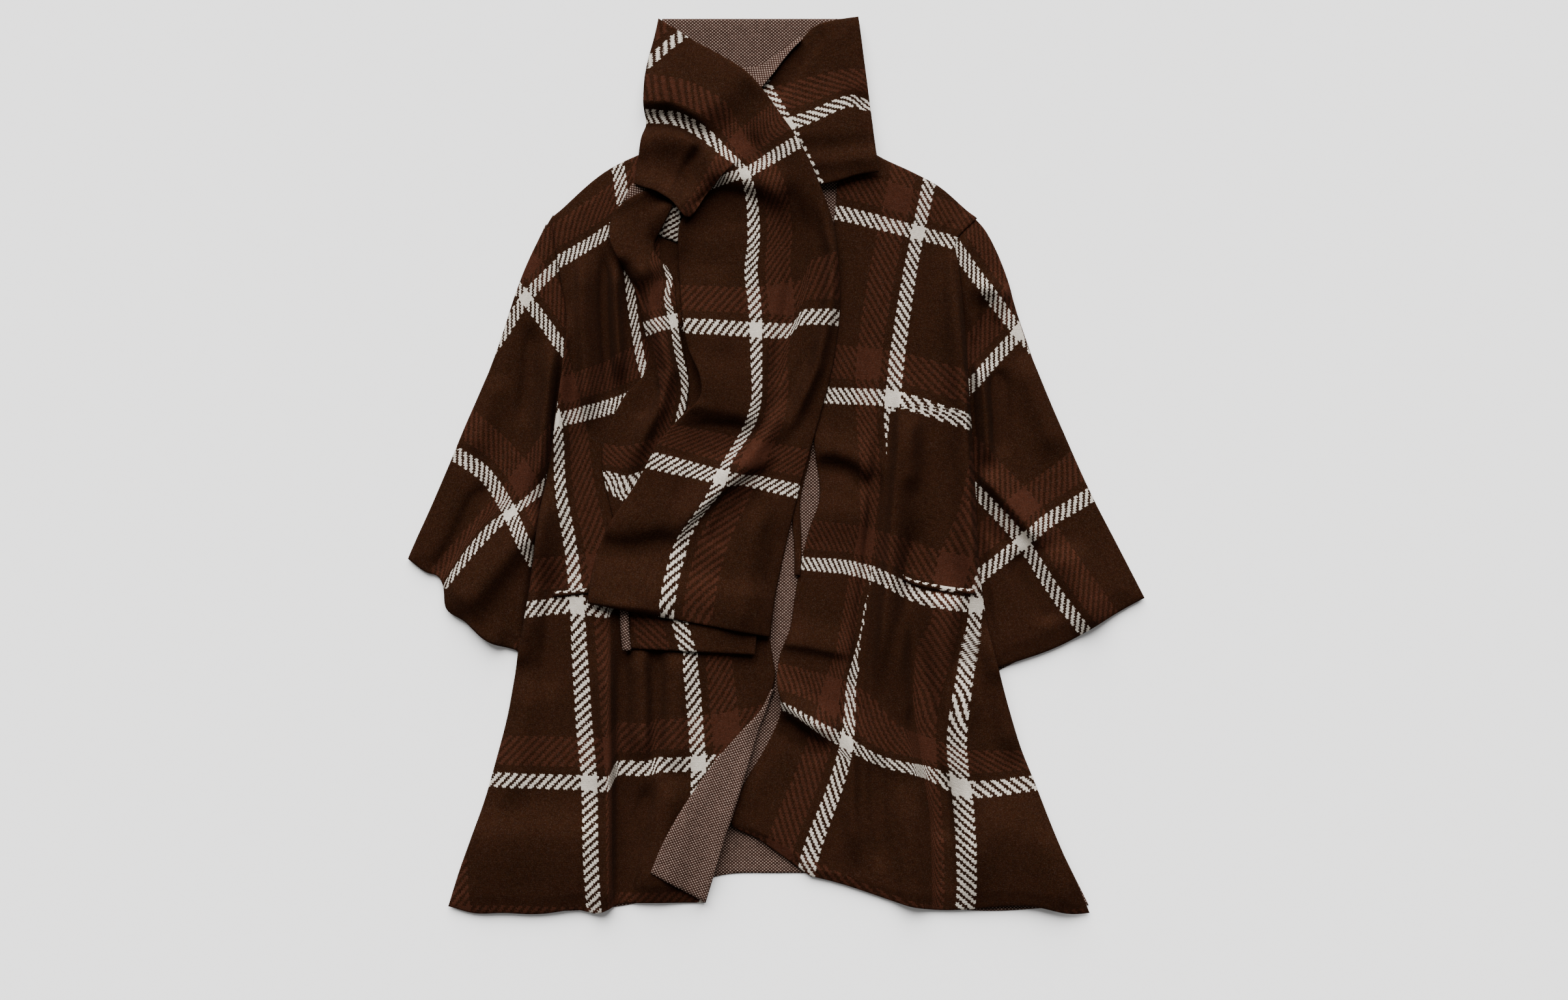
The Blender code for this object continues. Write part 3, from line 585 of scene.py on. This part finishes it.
class Cloth:
    """One panel of cloth: its plan, its height on the pile, its plaid and its mesh."""

    pile = []

    def __init__(self, name, sections, step=FINE_STEP, waves=NONE, on_floor=False):
        self.name = name
        self.sections = sections
        self.waves = waves
        self.follow = straight_through if on_floor else smooth_through
        self.on_floor = on_floor
        middle = np.array([0.0, 0.5, 1.0])
        x, y = self.plan(*np.meshgrid(middle, np.linspace(0, 1, PLAN_ROWS)))
        length = np.hypot(np.diff(x[:, 1]), np.diff(y[:, 1])).sum() * DRAFT_SQUARE
        width = np.hypot(x[:, 2] - x[:, 0], y[:, 2] - y[:, 0]).max() * DRAFT_SQUARE
        self.across, self.along = np.meshgrid(self.shares(width, step), self.shares(length, step))
        self.x, self.y = self.plan(self.across, self.along)
        self.metre_x, self.metre_y = to_metres(self.x, self.y)
        self.edge = self.edge_distance()
        self.lower = np.zeros_like(self.x)
        self.hard_tucks = NONE

    @staticmethod
    def shares(length, step):
        """Shares from 0 to 1, a step apart, with two more near either edge."""
        inset = min(EDGE_ROUND / length, WIDEST_INSET)
        inner = np.linspace(inset, 1 - inset, max(3, round(length / step)))
        return np.concatenate(([0, RIM_SHARE * inset], inner, [1 - RIM_SHARE * inset, 1]))

    def plan(self, across, along):
        where = along * (len(self.sections) - 1)
        columns = list(zip(*self.sections))[:4]
        start_x, start_y, end_x, end_y = (self.follow(column, where) for column in columns)
        x = start_x + (end_x - start_x) * across
        y = start_y + (end_y - start_y) * across
        for wave in self.waves:
            reach = np.clip(1 - np.abs(along - wave.end) / END_WAVE_REACH, 0, 1) ** 2
            bell = reach * np.exp(-((across - wave.across) / wave.spread) ** 2)
            x = x + bell * wave.push
            y = y + bell * wave.drop
        return x, y

    def edge_distance(self):
        """Distance of each point from the nearest edge of the panel, in metres."""
        nearest = np.full_like(self.x, np.inf)
        for axis in (0, 1):
            run = np.hypot(np.diff(self.metre_x, axis=axis), np.diff(self.metre_y, axis=axis))
            so_far = np.insert(np.cumsum(run, axis=axis), 0, 0, axis=axis)
            to_go = so_far.max(axis=axis, keepdims=True) - so_far
            nearest = np.minimum(nearest, np.minimum(so_far, to_go))
        return nearest

    def top_of_pile(self):
        top = np.zeros_like(self.x)
        down = Vector((0, 0, -1))
        for tree in Cloth.pile:
            for index in np.ndindex(top.shape):
                start = Vector((self.metre_x[index], self.metre_y[index], RAY_HEIGHT))
                hit = tree.ray_cast(start, down)[0]
                if hit is not None:
                    top[index] = max(top[index], hit.z)
        return top

    def lay(self, folds=NONE, loft=0.0, lift=0.0, seed=0):
        """Lay the panel on the pile, softened over steps, with its folds and a slight ripple."""
        if not self.on_floor:
            below = self.top_of_pile()
            base = below
            for _pass in range(WIDEN_PASSES):
                base = widest(base, SOFT_CELLS)
            for _pass in range(BLUR_PASSES):
                base = blurred(base, SOFT_CELLS)
            base = np.maximum(base, below) + PLY_GAP
            ripple = np.array([
                noise.noise(Vector((x * RIPPLE_PER_METRE, y * RIPPLE_PER_METRE, seed)))
                for x, y in zip(self.metre_x.flat, self.metre_y.flat)
            ]).reshape(self.x.shape)
            inside = LOFT_AT_EDGE + (1 - LOFT_AT_EDGE) * np.clip(self.edge / LOFT_INSET, 0, 1)
            rise = fold_height(folds, self.x, self.y)
            rise += loft * inside + RIPPLE_HEIGHT * (RIPPLE_MEAN + ripple) * inside
            self.lower = base + lift + 0.5 * (rise + np.sqrt(rise ** 2 + SOFT_FLOOR ** 2) - SOFT_FLOOR)
        roundness = np.sqrt(1 - (1 - np.clip(self.edge / EDGE_ROUND, 0, 1)) ** 2)
        thickness = EDGE_THICKNESS + (KNIT_THICKNESS - EDGE_THICKNESS) * roundness
        self.upper = self.lower + thickness
        return self

    def chart(self, count_across, count_along):
        """Set the plaid's repeats at each point."""
        self.count_across = count_across
        self.count_along = count_along
        return self

    def plaid(self, across_marks, along_marks, tucks=NONE):
        """Plaid that follows marks and breaks at tucks."""
        self.hard_tucks = [tuck for tuck in tucks if not tuck.soft]
        return self.chart(*(
            through_marks(marks, tucks, column, self.x, self.y)
            for marks, column in zip((across_marks, along_marks), HIDDEN)))

    def tuck_steps(self):
        """Repeats hidden by the hard tucks at the middle of each cell."""
        middle_x, middle_y = (
            (values[1:, 1:] + values[:-1, 1:] + values[1:, :-1] + values[:-1, :-1]) / 4
            for values in (self.x, self.y))
        return np.stack([
            hidden_repeats(self.hard_tucks, middle_x, middle_y, column)
            for column in HIDDEN
        ], axis=-1)

    def straight_plaid(self, turn=0.0):
        """Plaid that runs straight over the panel, turned by an angle."""
        x = (self.x - DRAFT_CENTRE_X) / REPEAT_SQUARES
        y = (self.y - DRAFT_CENTRE_Y) / REPEAT_SQUARES
        return self.chart(x * np.cos(turn) + y * np.sin(turn), y * np.cos(turn) - x * np.sin(turn))

    def make(self, upper_finish, lower_finish):
        """Mesh of the panel: its upper side, its under side and a rounded rim."""
        rows, columns = (size - 1 for size in self.x.shape)
        bm = bmesh.new()
        place = bm.verts.layers.int.new("place")
        bmesh.ops.create_grid(bm, x_segments=columns, y_segments=rows, size=0.5)
        for vert in bm.verts:
            column = round((vert.co.x + 0.5) * columns)
            row = round((vert.co.y + 0.5) * rows)
            vert[place] = row * (columns + 1) + column
        spots = np.stack((self.metre_x, self.metre_y, self.upper), axis=-1).reshape(-1, 3)
        for vert in bm.verts:
            vert.co = spots[vert[place]]
        copied = bmesh.ops.extrude_face_region(bm, geom=bm.faces[:])
        lower = {item for item in copied["geom"] if isinstance(item, bmesh.types.BMVert)}
        under = self.lower.reshape(-1)
        for vert in lower:
            vert.co.z = under[vert[place]]
        bmesh.ops.recalc_face_normals(bm, faces=bm.faces[:])
        counts = np.stack((self.count_across, self.count_along), axis=-1).reshape(-1, 2)
        steps = self.tuck_steps()
        uv = bm.loops.layers.uv.new("plaid")
        for face in bm.faces:
            face.smooth = True
            row, column = divmod(min(vert[place] for vert in face.verts), columns + 1)
            step = steps[min(row, rows - 1), min(column, columns - 1)]
            face.material_index = int(all(vert in lower for vert in face.verts))
            for loop in face.loops:
                loop[uv].uv = counts[loop.vert[place]] + step
        Cloth.pile.append(BVHTree.FromBMesh(bm))
        mesh = bpy.data.meshes.new(self.name)
        bm.to_mesh(mesh)
        bm.free()
        mesh.materials.append(upper_finish)
        mesh.materials.append(lower_finish)
        return put_in_scene(self.name, mesh)


def shifted(values, cells):
    """The values and their neighbours up to some cells away, edges repeated."""
    padded = np.pad(values, cells, mode="edge")
    rows, columns = values.shape
    for row in range(2 * cells + 1):
        for column in range(2 * cells + 1):
            yield padded[row:row + rows, column:column + columns]


def widest(values, cells):
    return np.max(list(shifted(values, cells)), axis=0)


def blurred(values, cells):
    return np.mean(list(shifted(values, cells)), axis=0)


# Yarn colours
DARK_BROWN = (0.0158, 0.0054, 0.0021, 1)
DEEP_BROWN = (0.0052, 0.0017, 0.0007, 1)
OLIVE_BROWN = (0.0125, 0.0056, 0.0020, 1)
RUST = (0.0312, 0.0099, 0.0054, 1)
PALE_FIBRE = (0.110, 0.078, 0.064, 1)
CREAM = (0.430, 0.390, 0.335, 1)
# Darkest cream: the darker random tone of some stitches, and painted shade in the gaps between stitches
CREAM_PAINTED_SHADE_AND_DARK_TONE = (0.240, 0.207, 0.167, 1)
REVERSE_DARK = (0.0092, 0.0040, 0.0026, 1)
REVERSE_RUST = (0.0300, 0.0132, 0.0094, 1)
REVERSE_DOT = (0.236, 0.170, 0.138, 1)

# How wool takes the light
WOOL = {
    "Roughness": 0.95,
    "Specular IOR Level": 0.01,
    "Sheen Weight": 0.004,
    "Sheen Roughness": 0.45,
    "Sheen Tint": (0.85, 0.70, 0.60, 1),
}
HALF_TURN = 3.1416

# Grain of the yarn: its scale per metre and its detail
FUZZ_GRAIN = (700.0, 3.0)
PATCH_GRAIN = (330.0, 1.0)
CLOUD_GRAIN = (22.0, 2.0)
FIBRE_GRAIN = (900.0, 1.0)
REVERSE_GRAIN = (600.0, 3.0)
POCKET_GRAIN = (650.0, 2.0)

# Factor and offset that turn one measure of the knit into another
FUZZ_TO_STRAY = (1.6, -0.3)
PATCH_TO_STRAY = (1.2, -0.6)
FUZZ_TO_SHADE = (1.3, -0.38)
PATCH_TO_HUE = (2.4, -0.75)
SHADE_TO_RUST = (0.7, 0.35)
GRAIN_TO_FIBRE = (5.0, -2.5)
TONE_TO_DOT = (0.35, 0.6)
RAISED_TO_BUMP = (0.6, 0.4)

# Shares of the parts of the knit
LEG_SLANT = 0.40
TONE_IN_SHADE = 0.45
CLOUD_RUST = 0.25
FIBRE_SHARE = 0.065
TWIST_IN_RELIEF, LOOP_IN_RELIEF = 0.6, 0.4
# First share: painted shade, the cream darker where the stitch relief is low; second: each stitch's random
# tone in the cream
RELIEF_AS_PAINTED_SHADE, SHADE_IN_PALE = 0.55, 0.6
RELIEF_IN_BUMP = 0.45
TONE_IN_REVERSE, FUZZ_IN_REVERSE = 0.6, 0.4

# Reverse: wales and courses in one repeat, and how sharp its dots are
REVERSE_WALES = 95.0
REVERSE_COURSES = 111.0
DOT_SHARPNESS = 3.2

# Strength and depth of the bumps
FACE_BUMP = (0.55, 0.0006)
REVERSE_BUMP = (0.6, 0.0006)
POCKET_BUMP = (0.4, 0.0004)


class Finish:
    """A material and short words for its nodes."""

    def __init__(self, name):
        self.material = bpy.data.materials.new(name)
        self.material.use_nodes = True
        self.tree = self.material.node_tree
        self.shader = self.tree.nodes["Principled BSDF"]

    def put(self, socket, value):
        if isinstance(value, bpy.types.NodeSocket):
            self.tree.links.new(value, socket)
        else:
            socket.default_value = value

    def math(self, operation, *values):
        node = self.tree.nodes.new("ShaderNodeMath")
        node.operation = operation
        for socket, value in zip(node.inputs, values):
            self.put(socket, value)
        return node.outputs[0]

    def times(self, first, second):
        return self.math("MULTIPLY", first, second)

    def scaled(self, value, factor, offset):
        return self.math("MULTIPLY_ADD", value, factor, offset)

    def whole_and_part(self, value):
        return self.math("FLOOR", value), self.math("FRACT", value)

    def mix(self, share, first, second):
        """Colour between two others; a mix node's colours are its sockets 6 and 7."""
        node = self.tree.nodes.new("ShaderNodeMix")
        node.data_type = "RGBA"
        self.put(node.inputs[0], share)
        self.put(node.inputs[6], first)
        self.put(node.inputs[7], second)
        return node.outputs[2]

    def grain(self, vector, scale, detail):
        node = self.tree.nodes.new("ShaderNodeTexNoise")
        node.inputs["Scale"].default_value = scale
        node.inputs["Detail"].default_value = detail
        self.tree.links.new(vector, node.inputs["Vector"])
        return node.outputs["Fac"]

    def speckle(self, across, along):
        """A steady random value for each stitch."""
        join = self.tree.nodes.new("ShaderNodeCombineXYZ")
        self.put(join.inputs[0], across)
        self.put(join.inputs[1], along)
        node = self.tree.nodes.new("ShaderNodeTexWhiteNoise")
        node.noise_dimensions = "2D"
        self.tree.links.new(join.outputs[0], node.inputs["Vector"])
        return node.outputs["Value"]

    def counts(self):
        """Repeats of the plaid across and along, from the piece's own map."""
        node = self.tree.nodes.new("ShaderNodeUVMap")
        node.uv_map = "plaid"
        parts = self.tree.nodes.new("ShaderNodeSeparateXYZ")
        self.tree.links.new(node.outputs["UV"], parts.inputs[0])
        return parts.outputs[0], parts.outputs[1]

    def object_place(self):
        return self.tree.nodes.new("ShaderNodeTexCoord").outputs["Object"]

    def bump(self, height, strength, distance):
        node = self.tree.nodes.new("ShaderNodeBump")
        node.inputs["Strength"].default_value = strength
        node.inputs["Distance"].default_value = distance
        self.tree.links.new(height, node.inputs["Height"])
        self.tree.links.new(node.outputs["Normal"], self.shader.inputs["Normal"])

    def wool(self, colour):
        self.put(self.shader.inputs["Base Color"], colour)
        for socket, value in WOOL.items():
            self.shader.inputs[socket].default_value = value
        return self.material


def band(finish, index, first, count):
    """1 where a stitch lies in a band of the repeat."""
    place = finish.math("FLOORED_MODULO", finish.math("SUBTRACT", index, first), REPEAT_STITCHES)
    return finish.math("LESS_THAN", place, count)


def knit_face():
    """Jacquard face: a twill plaid of rust and cream on brown, stitch by stitch, with painted shade in the
    gaps between the cream stitches.
    """
    finish = Finish("knit_face")
    across, along = finish.counts()
    place = finish.object_place()
    fuzz = finish.grain(place, *FUZZ_GRAIN)
    patch = finish.grain(place, *PATCH_GRAIN)
    stitch_across = finish.scaled(across, REPEAT_STITCHES, finish.scaled(fuzz, *FUZZ_TO_STRAY))
    column, part = finish.whole_and_part(stitch_across)
    leg = finish.math("ABSOLUTE", finish.scaled(part, 2.0, -1.0))
    stitch_along = finish.scaled(along, REPEAT_STITCHES, finish.scaled(patch, *PATCH_TO_STRAY))
    row, part_row = finish.whole_and_part(finish.scaled(leg, LEG_SLANT, stitch_along))

    diagonal = finish.math("FLOORED_MODULO", finish.math("ADD", column, row), TWILL_STITCHES)
    weft_up = finish.math("LESS_THAN", diagonal, TWILL_STITCHES / 2)
    warp_up = finish.math("SUBTRACT", 1.0, weft_up)

    def shown(warp_first, weft_first, count):
        warp = finish.times(band(finish, column, warp_first, count), warp_up)
        weft = finish.times(band(finish, row, weft_first, count), weft_up)
        return finish.math("ADD", warp, weft)

    cream = shown(CREAM_FIRST, CREAM_FIRST, CREAM_COUNT)
    rust = shown(RUST_FIRST, 1 - RUST_FIRST - RUST_COUNT, RUST_COUNT)

    tone = finish.speckle(column, row)
    shade = finish.scaled(tone, TONE_IN_SHADE, finish.scaled(fuzz, *FUZZ_TO_SHADE))
    hue = finish.scaled(patch, *PATCH_TO_HUE)
    brown = finish.mix(shade, DEEP_BROWN, finish.mix(hue, DARK_BROWN, OLIVE_BROWN))
    cloud = finish.grain(place, *CLOUD_GRAIN)
    brown = finish.mix(finish.times(cloud, CLOUD_RUST), brown, RUST)
    rust_part = finish.times(rust, finish.scaled(shade, *SHADE_TO_RUST))
    fibres = finish.scaled(finish.grain(place, *FIBRE_GRAIN), *GRAIN_TO_FIBRE)
    fibre_part = finish.times(finish.math("MAXIMUM", fibres, 0.0), FIBRE_SHARE)
    ground = finish.mix(fibre_part, finish.mix(rust_part, brown, RUST), PALE_FIBRE)

    part_leg = finish.math("FRACT", finish.times(part, 2.0))
    twist = finish.math("SINE", finish.times(part_leg, HALF_TURN))
    loop = finish.math("SINE", finish.times(part_row, HALF_TURN))
    relief = finish.scaled(twist, TWIST_IN_RELIEF, finish.times(loop, LOOP_IN_RELIEF))
    # Cream darkened by painted shade in the low gaps between stitch legs and loops, and by each stitch's
    # random tone
    cream_painted_shade_and_tone = finish.scaled(relief, RELIEF_AS_PAINTED_SHADE, finish.times(shade, SHADE_IN_PALE))
    pale = finish.mix(cream_painted_shade_and_tone, CREAM_PAINTED_SHADE_AND_DARK_TONE, CREAM)
    finish.bump(finish.scaled(relief, RELIEF_IN_BUMP, fuzz), *FACE_BUMP)
    return finish.wool(finish.mix(cream, ground, pale))


def knit_reverse():
    """Bird's-eye reverse: pale and rust dots, row about row, on dark brown."""
    finish = Finish("knit_reverse")
    across, along = finish.counts()
    column, part = finish.whole_and_part(finish.times(across, REVERSE_WALES))
    row, part_row = finish.whole_and_part(finish.times(along, REVERSE_COURSES))
    raised = finish.math("FLOORED_MODULO", finish.math("ADD", column, row), 2.0)
    off_across = finish.math("SUBTRACT", part, 0.5)
    off_along = finish.math("SUBTRACT", part_row, 0.5)
    far = finish.math("ADD", finish.times(off_across, off_across), finish.times(off_along, off_along))
    dot = finish.math("SUBTRACT", 1.0, finish.times(far, DOT_SHARPNESS))
    tone = finish.speckle(column, row)
    fuzz = finish.grain(finish.object_place(), *REVERSE_GRAIN)
    rust_part = finish.scaled(tone, TONE_IN_REVERSE, finish.times(fuzz, FUZZ_IN_REVERSE))
    dark = finish.mix(rust_part, REVERSE_DARK, REVERSE_RUST)
    pale_part = finish.times(finish.times(raised, dot), finish.scaled(tone, *TONE_TO_DOT))
    finish.bump(finish.times(dot, finish.scaled(raised, *RAISED_TO_BUMP)), *REVERSE_BUMP)
    return finish.wool(finish.mix(pale_part, dark, REVERSE_DOT))


def pocket_knit():
    finish = Finish("pocket_knit")
    rows = finish.grain(finish.object_place(), *POCKET_GRAIN)
    finish.bump(rows, *POCKET_BUMP)
    return finish.wool(finish.mix(rows, DEEP_BROWN, DARK_BROWN))


FACE = knit_face()
REVERSE = knit_reverse()
POCKET = pocket_knit()

FACE_UP = Side(FACE, REVERSE, "knit_face")
FACE_DOWN = Side(REVERSE, FACE, "knit_face")
REVERSE_UP = Side(REVERSE, FACE, "knit_reverse")


def dress(panel, side, nodes):
    """Make a panel's piece, let it ride and stand for its solids."""
    piece = panel.make(side.upper, side.lower)
    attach(piece, "root")
    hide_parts(*nodes)


def floor_panels():
    for name, sections, waves, turn, side, cut in (
        ("back", BACK, BACK_WAVES, 0.0, FACE_DOWN, Cut(0.69, 0.81, 0.40, "laid", [])),
        ("sleeve_right_back", SLEEVE_RIGHT_BACK, SLEEVE_RIGHT_BACK_WAVES, 0.8, FACE_DOWN,
         Cut(0.18, 0.47, 0.040, "laid", [])),
        ("sleeve_left_back", SLEEVE_LEFT_BACK, SLEEVE_LEFT_BACK_WAVES, -0.8, FACE_DOWN,
         Cut(0.19, 0.48, 0.045, "laid", [])),
        ("scarf_back", SCARF_BACK, NONE, 0.0, REVERSE_UP, Cut(0.24, 0.15, 0.035, "folded", [])),
    ):
        panel = Cloth(name + "_knit", sections, FLAT_STEP, waves, on_floor=True)
        dress(panel.lay().straight_plaid(turn), side, [name])


def pocket_bags():
    for name in ("pocket_right", "pocket_left"):
        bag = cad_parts[name]
        bag.data.materials.clear()
        bag.data.materials.append(POCKET)
        bm = bmesh.new()
        bm.from_mesh(bag.data)
        Cloth.pile.append(BVHTree.FromBMesh(bm))
        bm.free()


def front_panels():
    """Front halves of the sleeves, then the two fronts over them."""
    panels = (
        ("sleeve_right_front", SLEEVE_RIGHT_FRONT, SLEEVE_RIGHT_WAVES, SLEEVE_RIGHT_FOLDS, SLEEVE_LOFT,
         (SLEEVE_RIGHT_ACROSS, SLEEVE_RIGHT_ALONG, SLEEVE_RIGHT_TUCKS),
         Cut(0.19, 0.48, 0.045, "laid", ["sleeve_right_back_knit"])),
        ("sleeve_left_front", SLEEVE_LEFT_FRONT, SLEEVE_LEFT_WAVES, SLEEVE_LEFT_FOLDS, SLEEVE_LOFT,
         (SLEEVE_LEFT_ACROSS, SLEEVE_LEFT_ALONG),
         Cut(0.21, 0.50, 0.054, "laid", ["sleeve_left_back_knit"])),
        ("front_right", FRONT_RIGHT, FRONT_RIGHT_WAVES, FRONT_RIGHT_FOLDS, FRONT_LOFT,
         (FRONT_RIGHT_ACROSS, FRONT_RIGHT_ALONG, FRONT_RIGHT_TUCKS),
         Cut(0.38, 0.84, 0.22, "laid", ["back_knit"])),
        ("front_left", FRONT_LEFT, FRONT_LEFT_WAVES, FRONT_LEFT_FOLDS, FRONT_LOFT,
         (FRONT_LEFT_ACROSS, FRONT_LEFT_ALONG, FRONT_LEFT_TUCKS),
         Cut(0.40, 0.84, 0.21, "laid", ["back_knit"])),
    )
    for seed, (name, sections, waves, folds, loft, plaid, cut) in enumerate(panels, 1):
        panel = Cloth(name + "_knit", sections, waves=waves).lay(folds, loft=loft, seed=seed)
        dress(panel.plaid(*plaid), FACE_UP, [name])


def pocket_lips():
    for name, sections, carrier, length in (
        ("pocket_welt_right", WELT_RIGHT, "front_right_knit", 0.039),
        ("pocket_welt_left", WELT_LEFT, "front_left_knit", 0.080),
    ):
        lip = Cloth(name + "_knit", sections, SMALL_STEP).lay()
        lip.chart((lip.x - DRAFT_CENTRE_X) / REPEAT_SQUARES, WELT_FIRST + WELT_RUN * lip.across)
        dress(lip, FACE_UP, [name])


def turn_back():
    flap = Cloth("front_right_turn_back_knit", TURN_BACK).lay(TURN_BACK_FOLDS, loft=0.001, seed=5)
    dress(flap.straight_plaid(turn=0.4), REVERSE_UP, ["front_right_turn_back"])


def scarf_neck():
    wrap = Cloth("scarf_right_wrap_knit", SCARF_RIGHT_WRAP)
    wrap.lay(SCARF_RIGHT_WRAP_FOLDS, loft=0.004, lift=WRAP_LIFT * wrap.across ** 3, seed=6)
    dress(wrap.plaid(SCARF_RIGHT_WRAP_ACROSS, SCARF_RIGHT_WRAP_ALONG), FACE_UP, ["scarf_right_wrap"])
    roll = Cloth("scarf_right_wrap_turn_knit", SCARF_RIGHT_WRAP_TURN)
    roll.lay(lift=ROLL_LIFT * roll.across ** 2)
    dress(roll.straight_plaid(turn=0.7), REVERSE_UP, ["scarf_right_wrap"])
    neck = Cloth("scarf_neck_turn_knit", SCARF_NECK_TURN).lay(loft=0.001)
    dress(neck.straight_plaid(turn=0.9), REVERSE_UP, ["scarf_left_wrap"])
    fold = Cloth("scarf_neck_fold_knit", SCARF_NECK_FOLD, SMALL_STEP)
    fold.lay(lift=NECK_FOLD_LIFT * (1 - fold.along))
    fold.chart(NECK_FOLD_RUN * (fold.across - 0.5), (fold.y + NECK_FOLD_SLANT * fold.x) / NECK_FOLD_SQUARES)
    dress(fold, FACE_UP, ["scarf_left_wrap"])


def scarf_under_layer():
    tail = Cloth("scarf_under_tail_knit", SCARF_UNDER_TAIL).lay(SCARF_UNDER_TAIL_FOLDS, loft=0.001, seed=7)
    dress(tail.plaid(SCARF_UNDER_TAIL_ACROSS, SCARF_UNDER_TAIL_ALONG), FACE_UP, ["scarf_under_tail"])
    end = Cloth("scarf_under_end_knit", SCARF_UNDER_END)
    end.lay(loft=0.001, lift=END_LIFT * end.across, seed=8)
    dress(end.plaid(SCARF_UNDER_END_ACROSS, SCARF_UNDER_END_ALONG), FACE_UP, ["scarf_under_end"])
    roll = Cloth("scarf_under_end_roll_knit", SCARF_UNDER_END_ROLL, SMALL_STEP)
    roll.lay(SCARF_UNDER_END_ROLL_FOLDS)
    dress(roll.straight_plaid(turn=0.2), REVERSE_UP, ["scarf_under_end"])
    edge = Cloth("scarf_under_edge_knit", SCARF_UNDER_EDGE, SMALL_STEP).lay(loft=0.003)
    edge.chart(UNDER_EDGE_FIRST_ACROSS + UNDER_EDGE_RUN_ACROSS * edge.across,
               UNDER_EDGE_FIRST_ALONG + UNDER_EDGE_RUN_ALONG * edge.along)
    dress(edge, FACE_UP, ["scarf_under_end"])


def scarf_tail():
    """Left wrap and front tail, their plaid counted from the stripe that runs down the middle."""
    tail = Cloth("scarf_front_tail_knit", SCARF_TAIL, waves=SCARF_TAIL_WAVES)
    rows = tail.along * (len(SCARF_TAIL) - 1)
    lift, stripe, start_count, stripe_count, end_count = (
        smooth_through(column, rows) for column in list(zip(*SCARF_TAIL))[4:])
    tail.lay(SCARF_TAIL_FOLDS, loft=0.003, lift=lift * (1 - tail.across) ** 2, seed=9)
    hidden_across, hidden_along = (
        hidden_repeats(SCARF_TAIL_TUCKS, tail.x, tail.y, column) for column in HIDDEN)
    before = stripe_count + (start_count - stripe_count) * (stripe - tail.across) / stripe
    after = stripe_count + (end_count - stripe_count) * (tail.across - stripe) / (1 - stripe)
    tail.chart((tail.across - stripe) * SCARF_REPEATS_ACROSS + hidden_across,
               np.where(tail.across < stripe, before, after) + hidden_along)
    dress(tail, FACE_UP, ["scarf_front_tail", "scarf_left_wrap"])


def studio():
    """Pale floor, soft light from above the neck, and a camera looking straight down."""
    finish = Finish("pale_floor")
    grain = finish.grain(finish.object_place(), *FLOOR_GRAIN)
    finish.put(finish.shader.inputs["Base Color"], finish.mix(grain, FLOOR_DARK, FLOOR_LIGHT))
    finish.shader.inputs["Roughness"].default_value = FLOOR_ROUGHNESS
    bm = bmesh.new()
    bmesh.ops.create_grid(bm, x_segments=1, y_segments=1, size=FLOOR_SIZE)
    mesh = bpy.data.meshes.new("floor")
    bm.to_mesh(mesh)
    bm.free()
    mesh.materials.append(finish.material)
    floor = put_in_scene("floor", mesh)
    floor.location.z = -FLOOR_DROP

    sun = bpy.data.lights.new("window_light", "SUN")
    sun.energy = SUN_STRENGTH
    sun.angle = SUN_SPREAD
    lamp = put_in_scene("window_light", sun)
    lamp.rotation_euler = Vector(SUN_TOWARDS).to_track_quat("-Z", "Y").to_euler()
    world = bpy.data.worlds.new("studio")
    world.use_nodes = True
    sky = world.node_tree.nodes["Background"]
    sky.inputs["Color"].default_value = SKY_COLOUR
    sky.inputs["Strength"].default_value = SKY_STRENGTH
    bpy.context.scene.world = world

    camera = bpy.data.cameras.new("camera")
    camera.sensor_width = SENSOR_MILLIMETRES
    camera.lens = SENSOR_MILLIMETRES * CAMERA_HEIGHT / (VIEW_WIDTH_SQUARES * DRAFT_SQUARE)
    holder = put_in_scene("camera", camera)
    holder.location = (*to_metres(*VIEW_CENTRE), CAMERA_HEIGHT)
    bpy.context.scene.camera = holder


studio()
floor_panels()
pocket_bags()
front_panels()
pocket_lips()
turn_back()
scarf_neck()
scarf_under_layer()
scarf_tail()
